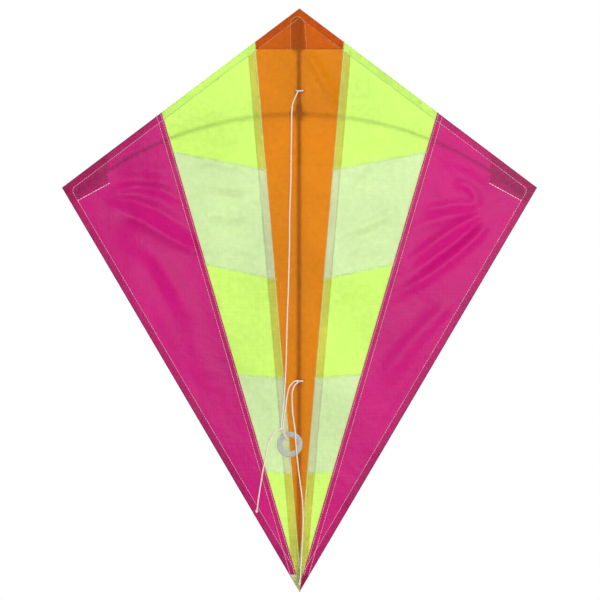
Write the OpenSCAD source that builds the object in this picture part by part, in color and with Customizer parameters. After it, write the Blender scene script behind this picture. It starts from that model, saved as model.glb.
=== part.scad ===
// Diamond kite: a five-colour sewn sail on a straight spine and a sprung cross spar,
// with a two-leg bridle and a tow ring.
// Millimetres. X runs across the kite, Y runs back away from the flyer, Z runs up to the nose.
// The origin is the centre of the cross spar where it passes behind the spine.
// Wing pieces are drawn on the right and mirrored for the left.

/* [Sail] */
// Height from nose to tail
kite_height = 700; // [620:10:860]
// Width from wing tip to wing tip
kite_width = 570; // [470:10:690]
// Height of the nose above the wing tips
tip_drop = 215; // [175:5:265]
// Height of the nose above the crossing of the rods
spar_drop = 123; // [100:1:150]
// Half width of the orange centre panel where it meets the leading edge
centre_half = 53; // [42:1:66]
// Distance from the lower point of the centre panel to the tail
centre_end = 40; // [34:1:60]
// Half width to the outer seam where it meets the leading edge
strip_half = 166; // [136:1:200]
// Distance from the lower end of the outer seam to the tail
strip_end = 5; // [2:1:10]
// Thickness of one layer of cloth as drawn
cloth = 0.6; // [0.4:0.1:1]
// Gap between cloth that can move and cloth that can't
cloth_gap = 0.3; // [0.3:0.1:0.6]

/* [Seams and hems] */
// Width of the turned hem along the outer edges
hem_w = 9; // [7:0.5:12]
// Width of the seam allowance beside the centre panel
inner_seam_w = 10; // [7:0.5:12]
// Width of the felled seam beside the magenta panel
outer_seam_w = 7; // [5:0.5:10]

/* [Pale panels, measured down from the nose] */
// Upper pale panel: top edge at the inner seam
upper_top_in = 194; // [180:1:215]
// Upper pale panel: top edge at the outer seam
upper_top_out = 172; // [160:1:190]
// Upper pale panel: bottom edge at the inner seam
upper_low_in = 325; // [300:1:345]
// Upper pale panel: bottom edge at the outer seam
upper_low_out = 307; // [290:1:330]
// Lower pale panel: top edge at the inner seam
lower_top_in = 444; // [425:1:460]
// Lower pale panel: top edge at the outer seam
lower_top_out = 439; // [420:1:455]
// Lower pale panel: bottom edge at the inner seam
lower_low_in = 558; // [540:1:564]
// Lower pale panel: bottom edge at the outer seam
lower_low_out = 556; // [538:1:563]

/* [Rods and fittings] */
// Diameter of the spine
spine_d = 5; // [4:0.5:6]
// Diameter of the cross spar
spar_d = 3; // [2.5:0.1:4]
// Wall of the soft caps on the spine
cap_wall = 0.8; // [0.6:0.1:1.2]
// Wall of the soft caps on the cross spar
tip_cap_wall = 1; // [0.7:0.1:1.4]
// Length of the rod that an end cap covers
cap_grip = 9; // [6:1:14]
// Wall of the cross fitting
fitting_wall = 1.7; // [1.2:0.1:1.8]
// Half height of the cross fitting on the spine
fitting_half_h = 9; // [7:1:12]
// Half width of the cross fitting on the spar
fitting_half_w = 10; // [8:1:14]
// Distance from the wing tip in to the end of the spar
spar_inset = 17; // [14:1:22]
// Distance from the wing tip down to the end of the spar
spar_tip_fall = 7; // [4:1:9]
// Gap in the drawn spar at each flex line
spar_gap = 1.2; // [1:0.1:2]

/* [Pockets] */
// Length of the doubled nose patch
nose_patch_h = 49; // [40:1:60]
// Half width of the spine pocket at the nose
nose_pocket_half = 9.5; // [7:0.5:12]
// Distance from the nose down to the top of its pocket
nose_pocket_drop = 10; // [7:1:12]
// Length of the tail tab
tail_tab_h = 21; // [18:1:26]
// Distance from the tail up to the end of the spine
spine_lift = 14; // [12:1:16]
// Width of the spar pocket's mouth, from the wing tip inwards
tip_pocket_w = 56; // [44:1:66]
// Depth of the spar pocket below the spar at the mouth
tip_pocket_below = 15; // [10:1:18]
// Depth of the spar pocket below the end of the spar
tip_pocket_toe = 8; // [6:1:10]

/* [Bridle] */
// Diameter of the bridle cord
cord_d = 1.8; // [1.4:0.1:2.2]
// Play of the cord in a tow hole
tow_hole_play = 1.6; // [1:0.1:2.4]
// Diameter of the knots at the ends of the cords
end_knot_d = 3.6; // [3:0.2:4.4]
// Distance from the nose down to the upper tow point
upper_tow_drop = 99; // [85:1:104]
// Distance from the nose down to the lower tow point
lower_tow_drop = 447; // [430:1:460]
// Outer diameter of the tow ring
ring_d = 30.6; // [25:0.1:32]
// Bore of the tow ring
ring_bore_d = 17.4; // [14:0.2:19]
// Thickness of the tow ring
ring_t = 2.2; // [1.8:0.2:3]
// Diameter of the knot that gathers the bridle
knot_d = 4.4; // [4:0.2:5]
// Lean of the ring from straight below its knot, in degrees
ring_lean = 28; // [0:1:40]

/* [Hidden] */
$fn = 48;
CORD_SIDES = 8;
FAR = 2000;
// Fit of a rod in its cap or fitting, least gap between separate pieces, how far a cut runs past its
// surface, and how far a spar pocket stays inside the edges of the sail
ROD_CLEARANCE = 0.05;
CLEAR = 0.3;
OVER = 1;
POCKET_INSET = 1;

// The corners and seams of the right half, as [across, up]
nose = [0, spar_drop];
tip = [kite_width / 2, spar_drop - tip_drop];
tail = [0, spar_drop - kite_height];
inner_seam_top = [centre_half, nose.y - tip_drop * centre_half / tip.x];
inner_seam_low = [0, tail.y + centre_end];
outer_seam_top = [strip_half, nose.y - tip_drop * strip_half / tip.x];
outer_seam_low = [0, tail.y + strip_end];
tab_top = tail.y + tail_tab_h;
nose_arch = nose.y - nose_pocket_drop - nose_pocket_half;

// Depths of the layers, front to back. The spar's axis is at zero where it crosses the spine.
spine_y = -(spar_d + spine_d) / 2 - ROD_CLEARANCE * 2;
cap_r = spine_d / 2 + cap_wall;
seam_y = spine_y - cap_r - CLEAR * 2 - cloth;
sail_y = seam_y - cloth;
pocket_back_y = spine_y + cap_r + CLEAR + cloth;

// The spine runs from its cap under the arch of the nose pocket to its cap in the tail tab
nose_pocket_inner = nose_pocket_half - cloth;
spine_top = nose_arch + sqrt(nose_pocket_inner * nose_pocket_inner - cap_r * cap_r) - CLEAR - cap_wall;
spine_low = tail.y + spine_lift;

// The sprung spar is one arc that leans forward to reach the pockets at the wing tips
tip_cap_r = spar_d / 2 + tip_cap_wall;
spar_end = [tip.x - spar_inset, tip.y - spar_tip_fall];
spar_end_y = seam_y + cloth + CLEAR + tip_cap_r;
spar_sag = norm([spar_end.y, spar_end_y]);
spar_r = (spar_end.x * spar_end.x + spar_sag * spar_sag) / (2 * spar_sag);
spar_tilt = atan2(spar_end_y, -spar_end.y);
spar_end_angle = asin(spar_end.x / spar_r);
flex_x = x_at(inner_seam_top, inner_seam_low, 0);
flex_angle = asin(flex_x / spar_r);
gap_angle = arc_degrees(spar_gap / 2);

// The bridle's places in front of the sail
front_y = sail_y - CLEAR - cord_d / 2;
loop_reach = ring_t / 2 + CLEAR + cord_d / 2;
ring_y = sail_y - CLEAR * 2 - loop_reach - cord_d / 2;
upper_tow_z = nose.y - upper_tow_drop;
lower_tow_z = nose.y - lower_tow_drop;

// A tow tie loops round the spine: the loop's half turn in front crosses the cloth at the tow holes
tie_half_x = spine_d / 2 + CLEAR * 2 + cord_d / 2;
tie_back_y = spine_y + spine_d / 2 + CLEAR + cord_d / 2;
tie_turn_y = front_y + tie_half_x;
tow_hole_x = sqrt(tie_half_x * tie_half_x - pow(tie_turn_y - sail_y - cloth / 2, 2));
tow_hole_d = cord_d + tow_hole_play;

ring_knot = [-21.4, ring_y, -381];
ring_rim_w = (ring_d - ring_bore_d) / 2;
loop_half = ring_rim_w / 2 + loop_reach;
ring_hang = ring_d / 2 - ring_rim_w / 2 + loop_half + cord_d / 2 + CLEAR + knot_d / 2;

// Routes of the cords, as [across, back from the front of the sail, up]
upper_leg_route = [
    [-1.5, -1.6, 24], [-4.4, -1.6, 18], [-8, -1.7, 9], [-9.2, -1.8, 0], [-9.6, -1.8, -17],
    [-10.2, -1.8, -58], [-10.5, -1.8, -88], [-11.8, -1.8, -122], [-12.2, -1.8, -166], [-13.4, -1.8, -212],
    [-15, -2, -255], [-16, -2.4, -299], [-17.4, -2.8, -327], [-19.4, -3.3, -354], [-21.4, -3.7, -371],
    [-22.1, -3.8, -379.3]
];
lower_leg_route = [
    [-1.5, -1.6, -323.2], [-6, -1.7, -324.4], [-10, -1.8, -328], [-13, -2, -333], [-14.8, -2.4, -342],
    [-16.4, -3, -354], [-18.4, -3.6, -368], [-20.1, -3.8, -379.3]
];
tail_line_route = [
    [-1.5, -1.6, -325], [-6, -1.8, -329.5], [-8.8, -2.6, -338], [-8.9, -3.8, -347], [-8, -5.8, -364],
    [-5.6, -7.1, -380], [-4.4, -7.4, -397], [-3.2, -7.2, -411], [-1.6, -6.2, -427], [0.8, -4.8, -446],
    [3.6, -3.4, -469], [4.2, -2.6, -494], [2.6, -2, -530], [1, -1.8, tail.y + 19], [0, -1.6, tail.y + 10]
];
pigtail_route = [
    [-22.8, -4.6, -381.3], [-25.6, -6.4, -382.6], [-30.2, -7.2, -386], [-34.4, -7.2, -392],
    [-37.7, -6.8, -400.5], [-39.8, -6.2, -410.5], [-41.4, -5.4, -420], [-43.8, -4.4, -431],
    [-45.3, -3.6, -441], [-46.9, -3, -450], [-48.2, -2.6, -458.5], [-49.3, -2.4, -466],
    [-50.2, -2.2, -473], [-51.4, -2.2, -480]
];

function unit(v) = v / norm(v);
// The angle that a length along the spar's arc covers
function arc_degrees(length) = length / spar_r * 180 / PI;
// How far the spar has fallen and leant at a place across, as a share of its end
function spar_share(x) = x * x / (spar_end.x * spar_end.x);
// A route's points, moved to the front of the sail
function before_sail(route) = [for (p = route) p + [0, sail_y, 0]];
// Where the line from a to b stands at a height
function x_at(a, b, height) = a.x + (b.x - a.x) * (height - a.y) / (b.y - a.y);
// The direction at right angles to a line, which points away from the spine on a line that runs down
function away(a, b) = unit([a.y - b.y, b.x - a.x]);
// A panel's edge across the strip, from its distances below the nose at the two seams
function strip_edge(inner, outer) = [
    [x_at(inner_seam_top, inner_seam_low, nose.y - inner), nose.y - inner],
    [x_at(outer_seam_top, outer_seam_low, nose.y - outer), nose.y - outer]
];

upper_top = strip_edge(upper_top_in, upper_top_out);
upper_low = strip_edge(upper_low_in, upper_low_out);
lower_top = strip_edge(lower_top_in, lower_top_out);
lower_low = strip_edge(lower_low_in, lower_low_out);

// Outlines of the right half, drawn flat

module beyond(a, b, distance = 0) {
    n = away(a, b);
    u = unit(b - a);
    p = a + n * distance;
    polygon([p - u * FAR, p + u * FAR, p + u * FAR + n * FAR, p - u * FAR + n * FAR]);
}

// Everything under a panel's edge
module below_edge(edge) {
    beyond(edge[1], edge[0]);
}

module half_sail() {
    polygon([nose, tip, tail]);
}

module above(height) {
    translate([-FAR, height]) square([2 * FAR, FAR]);
}

// The right half less the centre panel and the tail tab
module wing_outline() {
    intersection() {
        half_sail();
        beyond(inner_seam_top, inner_seam_low, cloth_gap);
        translate([cloth_gap, tab_top + cloth_gap]) square(FAR);
    }
}

module strip_outline() {
    difference() {
        wing_outline();
        beyond(outer_seam_top, outer_seam_low);
    }
}

module strip_between(top, low) {
    difference() {
        intersection() {
            strip_outline();
            beyond(low[0], low[1]);
        }
        beyond(top[0], top[1]);
    }
}

module magenta_outline() {
    intersection() {
        wing_outline();
        beyond(outer_seam_top, outer_seam_low);
    }
}

module leading_zone() {
    beyond(nose, tip, -hem_w);
}

module trailing_zone() {
    beyond(tip, tail, -hem_w);
}

// One layer of cloth with its front at a depth
module layer(front, thickness = cloth) {
    translate([0, front + thickness, 0])
        rotate([90, 0, 0])
            linear_extrude(thickness)
                children();
}

// A stretch of the spar's arc, between two angles either side of the crossing
module spar_stretch(radius, from_angle, to_angle) {
    rotate([spar_tilt, 0, 0])
        translate([0, 0, -spar_r])
            rotate([90, 0, 0])
                rotate([0, 0, 90 - to_angle])
                    rotate_extrude(angle = to_angle - from_angle)
                        translate([spar_r, 0])
                            circle(radius);
}

// A round cord swept through the points of its route
module cord(route) {
    n = len(route);
    rings = [
        for (i = [0 : n - 1])
            let (
                along = unit(route[min(i + 1, n - 1)] - route[max(i - 1, 0)]),
                u = unit(cross(along, [0, 1, 0])),
                v = cross(along, u)
            )
            for (k = [0 : CORD_SIDES - 1])
                route[i] + (u * cos(360 * k / CORD_SIDES) + v * sin(360 * k / CORD_SIDES)) * cord_d / 2
    ];
    sides = [
        for (i = [0 : n - 2], k = [0 : CORD_SIDES - 1])
            let (m = (k + 1) % CORD_SIDES, a = i * CORD_SIDES, b = (i + 1) * CORD_SIDES)
            each [[a + k, b + k, a + m], [a + m, b + k, b + m]]
    ];
    start = [for (k = [0 : CORD_SIDES - 1]) k];
    end = [for (k = [CORD_SIDES - 1 : -1 : 0]) (n - 1) * CORD_SIDES + k];
    polyhedron(points = rings, faces = concat([start], sides, [end]));
}

// A flat-sided loop of cord in the XY plane, round a rod or a rim, with a half turn at each end
module cord_loop(half_x, half_y) {
    for (s = [-1, 1]) {
        translate([0, s * (half_y - half_x), 0])
            rotate([0, 0, s > 0 ? 0 : 180])
                rotate_extrude(angle = 180)
                    translate([half_x, 0])
                        circle(d = cord_d);
        translate([s * half_x, 0, 0])
            rotate([90, 0, 0])
                cylinder(h = 2 * (half_y - half_x), d = cord_d, center = true);
    }
}

// Rods and fittings

module spine() {
    color("#2b2723")
        translate([0, spine_y, spine_low])
            cylinder(h = spine_top - spine_low, d = spine_d);
}

// A soft cap over one end of the spine, with its closed end up
module rod_cap() {
    difference() {
        translate([0, 0, -cap_grip]) cylinder(h = cap_grip + cap_wall, r = cap_r);
        translate([0, 0, -cap_grip - OVER]) cylinder(h = cap_grip + OVER, r = spine_d / 2 + ROD_CLEARANCE);
    }
}

module nose_cap() {
    color("#1d1b1a") translate([0, spine_y, spine_top]) rod_cap();
}

module tail_cap() {
    color("#1d1b1a") translate([0, spine_y, spine_low]) mirror([0, 0, 1]) rod_cap();
}

module cross_fitting() {
    arc = asin(fitting_half_w / spar_r);
    color("#1d1b1a")
        difference() {
            union() {
                translate([0, spine_y, -fitting_half_h])
                    cylinder(h = 2 * fitting_half_h, r = spine_d / 2 + fitting_wall);
                spar_stretch(spar_d / 2 + fitting_wall, -arc, arc);
            }
            translate([0, spine_y, -fitting_half_h - OVER])
                cylinder(h = 2 * (fitting_half_h + OVER), r = spine_d / 2 + ROD_CLEARANCE);
            spar_stretch(spar_d / 2 + ROD_CLEARANCE, -2 * arc, 2 * arc);
        }
}

module spar_centre() {
    color("#2b2723") spar_stretch(spar_d / 2, -flex_angle + gap_angle, flex_angle - gap_angle);
}

module wing_spar() {
    color("#2b2723") spar_stretch(spar_d / 2, flex_angle + gap_angle, spar_end_angle);
}

module tip_cap() {
    grip = arc_degrees(cap_grip);
    wall = arc_degrees(tip_cap_wall);
    play = arc_degrees(ROD_CLEARANCE);
    color("#1d1b1a")
        difference() {
            spar_stretch(tip_cap_r, spar_end_angle - grip, spar_end_angle + wall);
            spar_stretch(spar_d / 2 + ROD_CLEARANCE, spar_end_angle - 2 * grip, spar_end_angle + play);
        }
}

// Cloth in the middle

module centre_half_outline() {
    difference() {
        intersection() {
            half_sail();
            above(inner_seam_low.y);
        }
        beyond(inner_seam_top, inner_seam_low);
    }
}

module centre_outline() {
    polygon([nose, inner_seam_top, inner_seam_low, [-inner_seam_top.x, inner_seam_top.y]]);
}

module tow_holes(height) {
    for (s = [-1, 1])
        translate([s * tow_hole_x, height])
            circle(d = tow_hole_d);
}

module centre_panel() {
    color("#dc8219")
        layer(sail_y)
            difference() {
                centre_outline();
                tow_holes(upper_tow_z);
                tow_holes(lower_tow_z);
            }
}

// The nose is doubled, with a round-topped pocket for the end of the spine
module nose_patch() {
    low = nose.y - nose_patch_h;
    pocket_front = seam_y + cloth;
    color("#dc5a0f") {
        layer(seam_y)
            intersection() {
                centre_outline();
                above(low);
            }
        difference() {
            layer(pocket_front, pocket_back_y - pocket_front) {
                translate([-nose_pocket_half, low]) square([2 * nose_pocket_half, nose_arch - low]);
                translate([0, nose_arch]) circle(nose_pocket_half);
            }
            layer(pocket_front - OVER, pocket_back_y - cloth - pocket_front + OVER) {
                translate([-nose_pocket_inner, low - OVER])
                    square([2 * nose_pocket_inner, nose_arch - low + OVER]);
                translate([0, nose_arch]) circle(nose_pocket_inner);
            }
        }
    }
}

// The tail is closed by a folded tab with a pocket for the lower end of the spine
module tail_tab() {
    wide = x_at(tip, tail, tab_top);
    socket = cap_r + CLEAR;
    socket_low = tail.y + spine_lift - cap_wall - CLEAR * 2;
    color("#d9d47a")
        difference() {
            layer(sail_y, pocket_back_y - sail_y) polygon([[-wide, tab_top], [wide, tab_top], tail]);
            layer(seam_y + cloth, pocket_back_y - cloth - seam_y - cloth)
                translate([-socket, socket_low]) square([2 * socket, FAR]);
        }
}

// Cloth of the wings

module lime_top() {
    color("#c6ff66")
        layer(sail_y)
            difference() {
                strip_outline();
                below_edge(upper_top);
            }
}

module mint_upper() {
    color("#d2f2ae") layer(sail_y) strip_between(upper_top, upper_low);
}

module lime_middle() {
    color("#c6ff66") layer(sail_y) strip_between(upper_low, lower_top);
}

module mint_lower() {
    color("#d2f2ae") layer(sail_y) strip_between(lower_top, lower_low);
}

module lime_tail() {
    color("#c6ff66")
        layer(sail_y)
            intersection() {
                strip_outline();
                below_edge(lower_low);
            }
}

module wing_panel() {
    color("#cd2382") layer(sail_y) magenta_outline();
}

module lime_hem() {
    color("#c6ff66")
        layer(seam_y)
            intersection() {
                strip_outline();
                leading_zone();
            }
}

module leading_hem() {
    color("#b8146e")
        layer(seam_y)
            difference() {
                intersection() {
                    magenta_outline();
                    leading_zone();
                }
                trailing_zone();
            }
}

module trailing_hem() {
    color("#b8146e")
        layer(seam_y)
            intersection() {
                magenta_outline();
                trailing_zone();
            }
}

module inner_seam() {
    color("#cdc35a")
        layer(seam_y)
            difference() {
                strip_outline();
                beyond(inner_seam_top, inner_seam_low, inner_seam_w);
                leading_zone();
            }
}

module outer_seam() {
    color("#b8145a")
        layer(seam_y)
            difference() {
                magenta_outline();
                beyond(outer_seam_top, outer_seam_low, outer_seam_w);
                leading_zone();
                trailing_zone();
            }
}

// The spar pocket seen from the back, less a wall on its closed sides
module pocket_outline(mouth, wall = 0) {
    mouth_low = [mouth, spar_end.y * spar_share(mouth) - tip_pocket_below];
    toe = [spar_end.x - tip_cap_wall - cap_wall - cloth * 2, spar_end.y - tip_pocket_toe];
    difference() {
        intersection() {
            half_sail();
            translate([wall > 0 ? mouth - OVER : mouth, -FAR]) square(2 * FAR);
            beyond(mouth_low, toe, wall);
        }
        beyond(nose, tip, -wall - POCKET_INSET);
        beyond(tip, tail, -wall - POCKET_INSET);
    }
}

// The pocket on the back of the wing tip: a flat bag, open towards the spine, for the end of the spar
module tip_pocket() {
    mouth = tip.x - tip_pocket_w;
    front = seam_y + cloth;
    back = spar_end_y * spar_share(mouth) + tip_cap_r + CLEAR + cloth;
    color("#c01a76")
        difference() {
            layer(front, back - front) pocket_outline(mouth);
            layer(front - OVER, back - cloth - front + OVER) pocket_outline(mouth, cloth);
        }
}

// Bridle

module tow_tie(height) {
    color("#f4efe6")
        translate([0, (front_y + tie_back_y) / 2, height])
            cord_loop(tie_half_x, (tie_back_y - front_y) / 2);
}

module upper_tow_tie() {
    tow_tie(upper_tow_z);
}

module lower_tow_tie() {
    tow_tie(lower_tow_z);
}

module bridle_upper_leg() {
    color("#f4efe6") cord(before_sail(upper_leg_route));
}

module bridle_lower_leg() {
    color("#f4efe6") cord(before_sail(lower_leg_route));
}

module bridle_knot() {
    color("#f4efe6") translate(ring_knot) sphere(d = knot_d);
}

module tail_line() {
    color("#f4efe6") cord(before_sail(tail_line_route));
}

// The knot at the end of a cord
module end_knot(route) {
    placed = before_sail(route);
    color("#f4efe6") translate(placed[len(placed) - 1]) sphere(d = end_knot_d);
}

module tail_knot() {
    end_knot(tail_line_route);
}

module pigtail() {
    color("#f4efe6") cord(before_sail(pigtail_route));
}

module pigtail_knot() {
    end_knot(pigtail_route);
}

// Turns the ring and its hitch about the knot from straight below it
module hung_from_knot() {
    translate(ring_knot) rotate([0, -ring_lean, 0]) children();
}

module ring_hitch() {
    middle = -ring_hang + ring_d / 2 - ring_rim_w / 2;
    color("#f4efe6")
        hung_from_knot()
            translate([0, 0, middle])
                rotate([0, 90, 0])
                    rotate([0, 0, 90])
                        cord_loop(loop_reach, loop_half);
}

module tow_ring() {
    color("#c8cccf")
        hung_from_knot()
            translate([0, 0, -ring_hang])
                rotate([90, 0, 0])
                    difference() {
                        cylinder(h = ring_t, d = ring_d, center = true);
                        cylinder(h = ring_t + OVER, d = ring_bore_d, center = true);
                    }
}

spine();
nose_cap();
tail_cap();
cross_fitting();
spar_centre();
centre_panel();
nose_patch();
tail_tab();
upper_tow_tie();
lower_tow_tie();
bridle_upper_leg();
bridle_lower_leg();
bridle_knot();
tail_line();
tail_knot();
pigtail();
pigtail_knot();
ring_hitch();
tow_ring();
mirror([1, 0, 0]) lime_top();  // left_lime_top
mirror([1, 0, 0]) mint_upper();  // left_mint_upper
mirror([1, 0, 0]) lime_middle();  // left_lime_middle
mirror([1, 0, 0]) mint_lower();  // left_mint_lower
mirror([1, 0, 0]) lime_tail();  // left_lime_tail
mirror([1, 0, 0]) wing_panel();  // left_wing_panel
mirror([1, 0, 0]) lime_hem();  // left_lime_hem
mirror([1, 0, 0]) leading_hem();  // left_leading_hem
mirror([1, 0, 0]) trailing_hem();  // left_trailing_hem
mirror([1, 0, 0]) inner_seam();  // left_inner_seam
mirror([1, 0, 0]) outer_seam();  // left_outer_seam
mirror([1, 0, 0]) tip_pocket();  // left_tip_pocket
mirror([1, 0, 0]) tip_cap();  // left_tip_cap
mirror([1, 0, 0]) wing_spar();  // left_spar
lime_top();  // right_lime_top
mint_upper();  // right_mint_upper
lime_middle();  // right_lime_middle
mint_lower();  // right_mint_lower
lime_tail();  // right_lime_tail
wing_panel();  // right_wing_panel
lime_hem();  // right_lime_hem
leading_hem();  // right_leading_hem
trailing_hem();  // right_trailing_hem
inner_seam();  // right_inner_seam
outer_seam();  // right_outer_seam
tip_pocket();  // right_tip_pocket
tip_cap();  // right_tip_cap
wing_spar();  // right_spar
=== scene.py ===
"""Visual model of a diamond kite: sewn ripstop sail, rods, caps, bridle and tow ring.

Every length is in metres in the frame of the CAD model: X across, Y back, Z up, with the origin where
the two rods cross. Wing pieces are worked out for the right side and mirrored for the left.
"""

import logging
import math
from collections.abc import Callable
from dataclasses import dataclass, field
from enum import Enum

import bmesh
import bpy
from mathutils import Matrix, Vector


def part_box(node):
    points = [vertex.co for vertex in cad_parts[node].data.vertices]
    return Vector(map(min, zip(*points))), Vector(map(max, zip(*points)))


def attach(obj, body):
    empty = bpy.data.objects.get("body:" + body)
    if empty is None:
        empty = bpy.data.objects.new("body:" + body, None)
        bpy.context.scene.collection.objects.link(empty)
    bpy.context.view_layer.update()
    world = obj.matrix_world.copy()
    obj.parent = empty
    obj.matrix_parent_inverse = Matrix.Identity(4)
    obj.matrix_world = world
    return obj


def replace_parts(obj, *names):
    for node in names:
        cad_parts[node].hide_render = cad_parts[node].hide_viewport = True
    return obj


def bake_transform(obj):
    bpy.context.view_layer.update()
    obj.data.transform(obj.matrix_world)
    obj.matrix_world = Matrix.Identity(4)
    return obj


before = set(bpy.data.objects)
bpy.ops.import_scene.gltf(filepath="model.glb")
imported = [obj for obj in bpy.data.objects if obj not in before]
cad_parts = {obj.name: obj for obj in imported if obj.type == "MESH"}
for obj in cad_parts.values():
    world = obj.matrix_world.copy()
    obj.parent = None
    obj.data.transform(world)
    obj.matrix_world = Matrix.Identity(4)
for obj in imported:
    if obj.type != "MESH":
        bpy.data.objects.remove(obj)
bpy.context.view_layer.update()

Point = tuple[float, float]
Outline = list[Point]
Colour = tuple[float, float, float]
Piece = bpy.types.Object
Socket = bpy.types.NodeSocket
Bulge = Callable[[float, float], float]
LOG = logging.getLogger("kite")
MM = 0.001
X_AXIS, Y_AXIS, Z_AXIS = Vector((1, 0, 0)), Vector((0, 1, 0)), Vector((0, 0, 1))


class Side(Enum):
    """The two wings, with the sign of X on each."""

    LEFT = -1
    RIGHT = 1

    @property
    def word(self) -> str:
        """The side's name, as bodies and pieces use it."""
        return self.name.lower()

    @property
    def body(self) -> str:
        """The CAD body of this wing."""
        return f"{self.word}_wing"


# Small sums


def smooth_step(low: float, high: float, value: float) -> float:
    """The share from 0 at low to 1 at high, which may be below low, with a smooth start and end."""
    t = min(1.0, max(0.0, (value - low) / (high - low)))
    return t * t * (3 - 2 * t)


def unit(v: Point) -> Point:
    """The direction of v."""
    length = math.hypot(*v)
    return v[0] / length, v[1] / length


def between(a: Point, b: Point, share: float) -> Point:
    """The point at a share of the way from a to b."""
    return a[0] + (b[0] - a[0]) * share, a[1] + (b[1] - a[1]) * share


def away(a: Point, b: Point) -> Point:
    """The direction at right angles to a line that runs down from a to b, away from the spine."""
    return unit((a[1] - b[1], b[0] - a[0]))


def past(p: Point, a: Point, b: Point) -> float:
    """How far a point lies on the far side of the line from a to b."""
    n = away(a, b)
    return (p[0] - a[0]) * n[0] + (p[1] - a[1]) * n[1]


def beyond(outline: Outline, a: Point, b: Point, shift: float = 0.0) -> Outline:
    """The part of a convex outline on the far side of a line.

    Args:
        outline: corners in order.
        a: one point on the line.
        b: another point on it, lower down or further along.
        shift: how far the line is moved to its far side first.

    Returns:
        The corners of what is left.
    """
    reach = [past(p, a, b) - shift for p in outline]
    kept: Outline = []
    for i, p in enumerate(outline):
        d, e = reach[i], reach[i - 1]
        if (d >= 0) != (e >= 0):
            kept.append(between(outline[i - 1], p, e / (e - d)))
        if d >= 0:
            kept.append(p)
    return kept


def short_of(outline: Outline, a: Point, b: Point, shift: float = 0.0) -> Outline:
    """The part of a convex outline on the near side of a line, as beyond() gives the far side."""
    return beyond(outline, b, a, -shift)


# Finishes


class Graph:
    """A node tree, with short calls that add to it."""

    def __init__(self, tree: bpy.types.NodeTree) -> None:
        """Empties a tree to start on it."""
        self.tree = tree
        tree.nodes.clear()

    def add(self, kind: str, settings: dict[str, object] | None = None, **inputs: object) -> bpy.types.Node:
        """Adds a node.

        Args:
            kind: the node's type; a shader node goes without its prefix.
            settings: the node's own properties.
            inputs: its sockets by name, with _ for a space, each a value or a socket to link.

        Returns:
            The node.
        """
        whole = kind.startswith(("Geometry", "Function", "NodeGroup"))
        node = self.tree.nodes.new(kind if whole else f"ShaderNode{kind}")
        for name, value in (settings or {}).items():
            setattr(node, name, value)
        for name, value in inputs.items():
            self.put(node.inputs[name.replace("_", " ")], value)
        return node

    def put(self, socket: Socket, value: object) -> None:
        """Links a socket, or sets its value.

        Args:
            socket: the input.
            value: another socket to link, or the value.
        """
        if isinstance(value, Socket):
            self.tree.links.new(value, socket)
        else:
            socket.default_value = value

    def math(self, operation: str, a: object, b: object = 0.0) -> Socket:
        """Works out a sum in a Math node.

        Args:
            operation: the kind of sum.
            a: its first value or socket.
            b: its second.

        Returns:
            The result.
        """
        node = self.add("Math", {"operation": operation})
        for socket, value in zip(node.inputs, (a, b)):
            self.put(socket, value)
        return node.outputs[0]

    def share(self, share: object, first: bpy.types.Node, second: bpy.types.Node) -> Socket:
        """Mixes two shaders.

        Args:
            share: how much of the second one shows.
            first: a shader node.
            second: another.

        Returns:
            The mix.
        """
        mix = self.add("MixShader", Fac=share)
        for socket, node in zip(mix.inputs[1:], (first, second)):
            self.put(socket, node.outputs[0])
        return mix.outputs[0]


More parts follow.
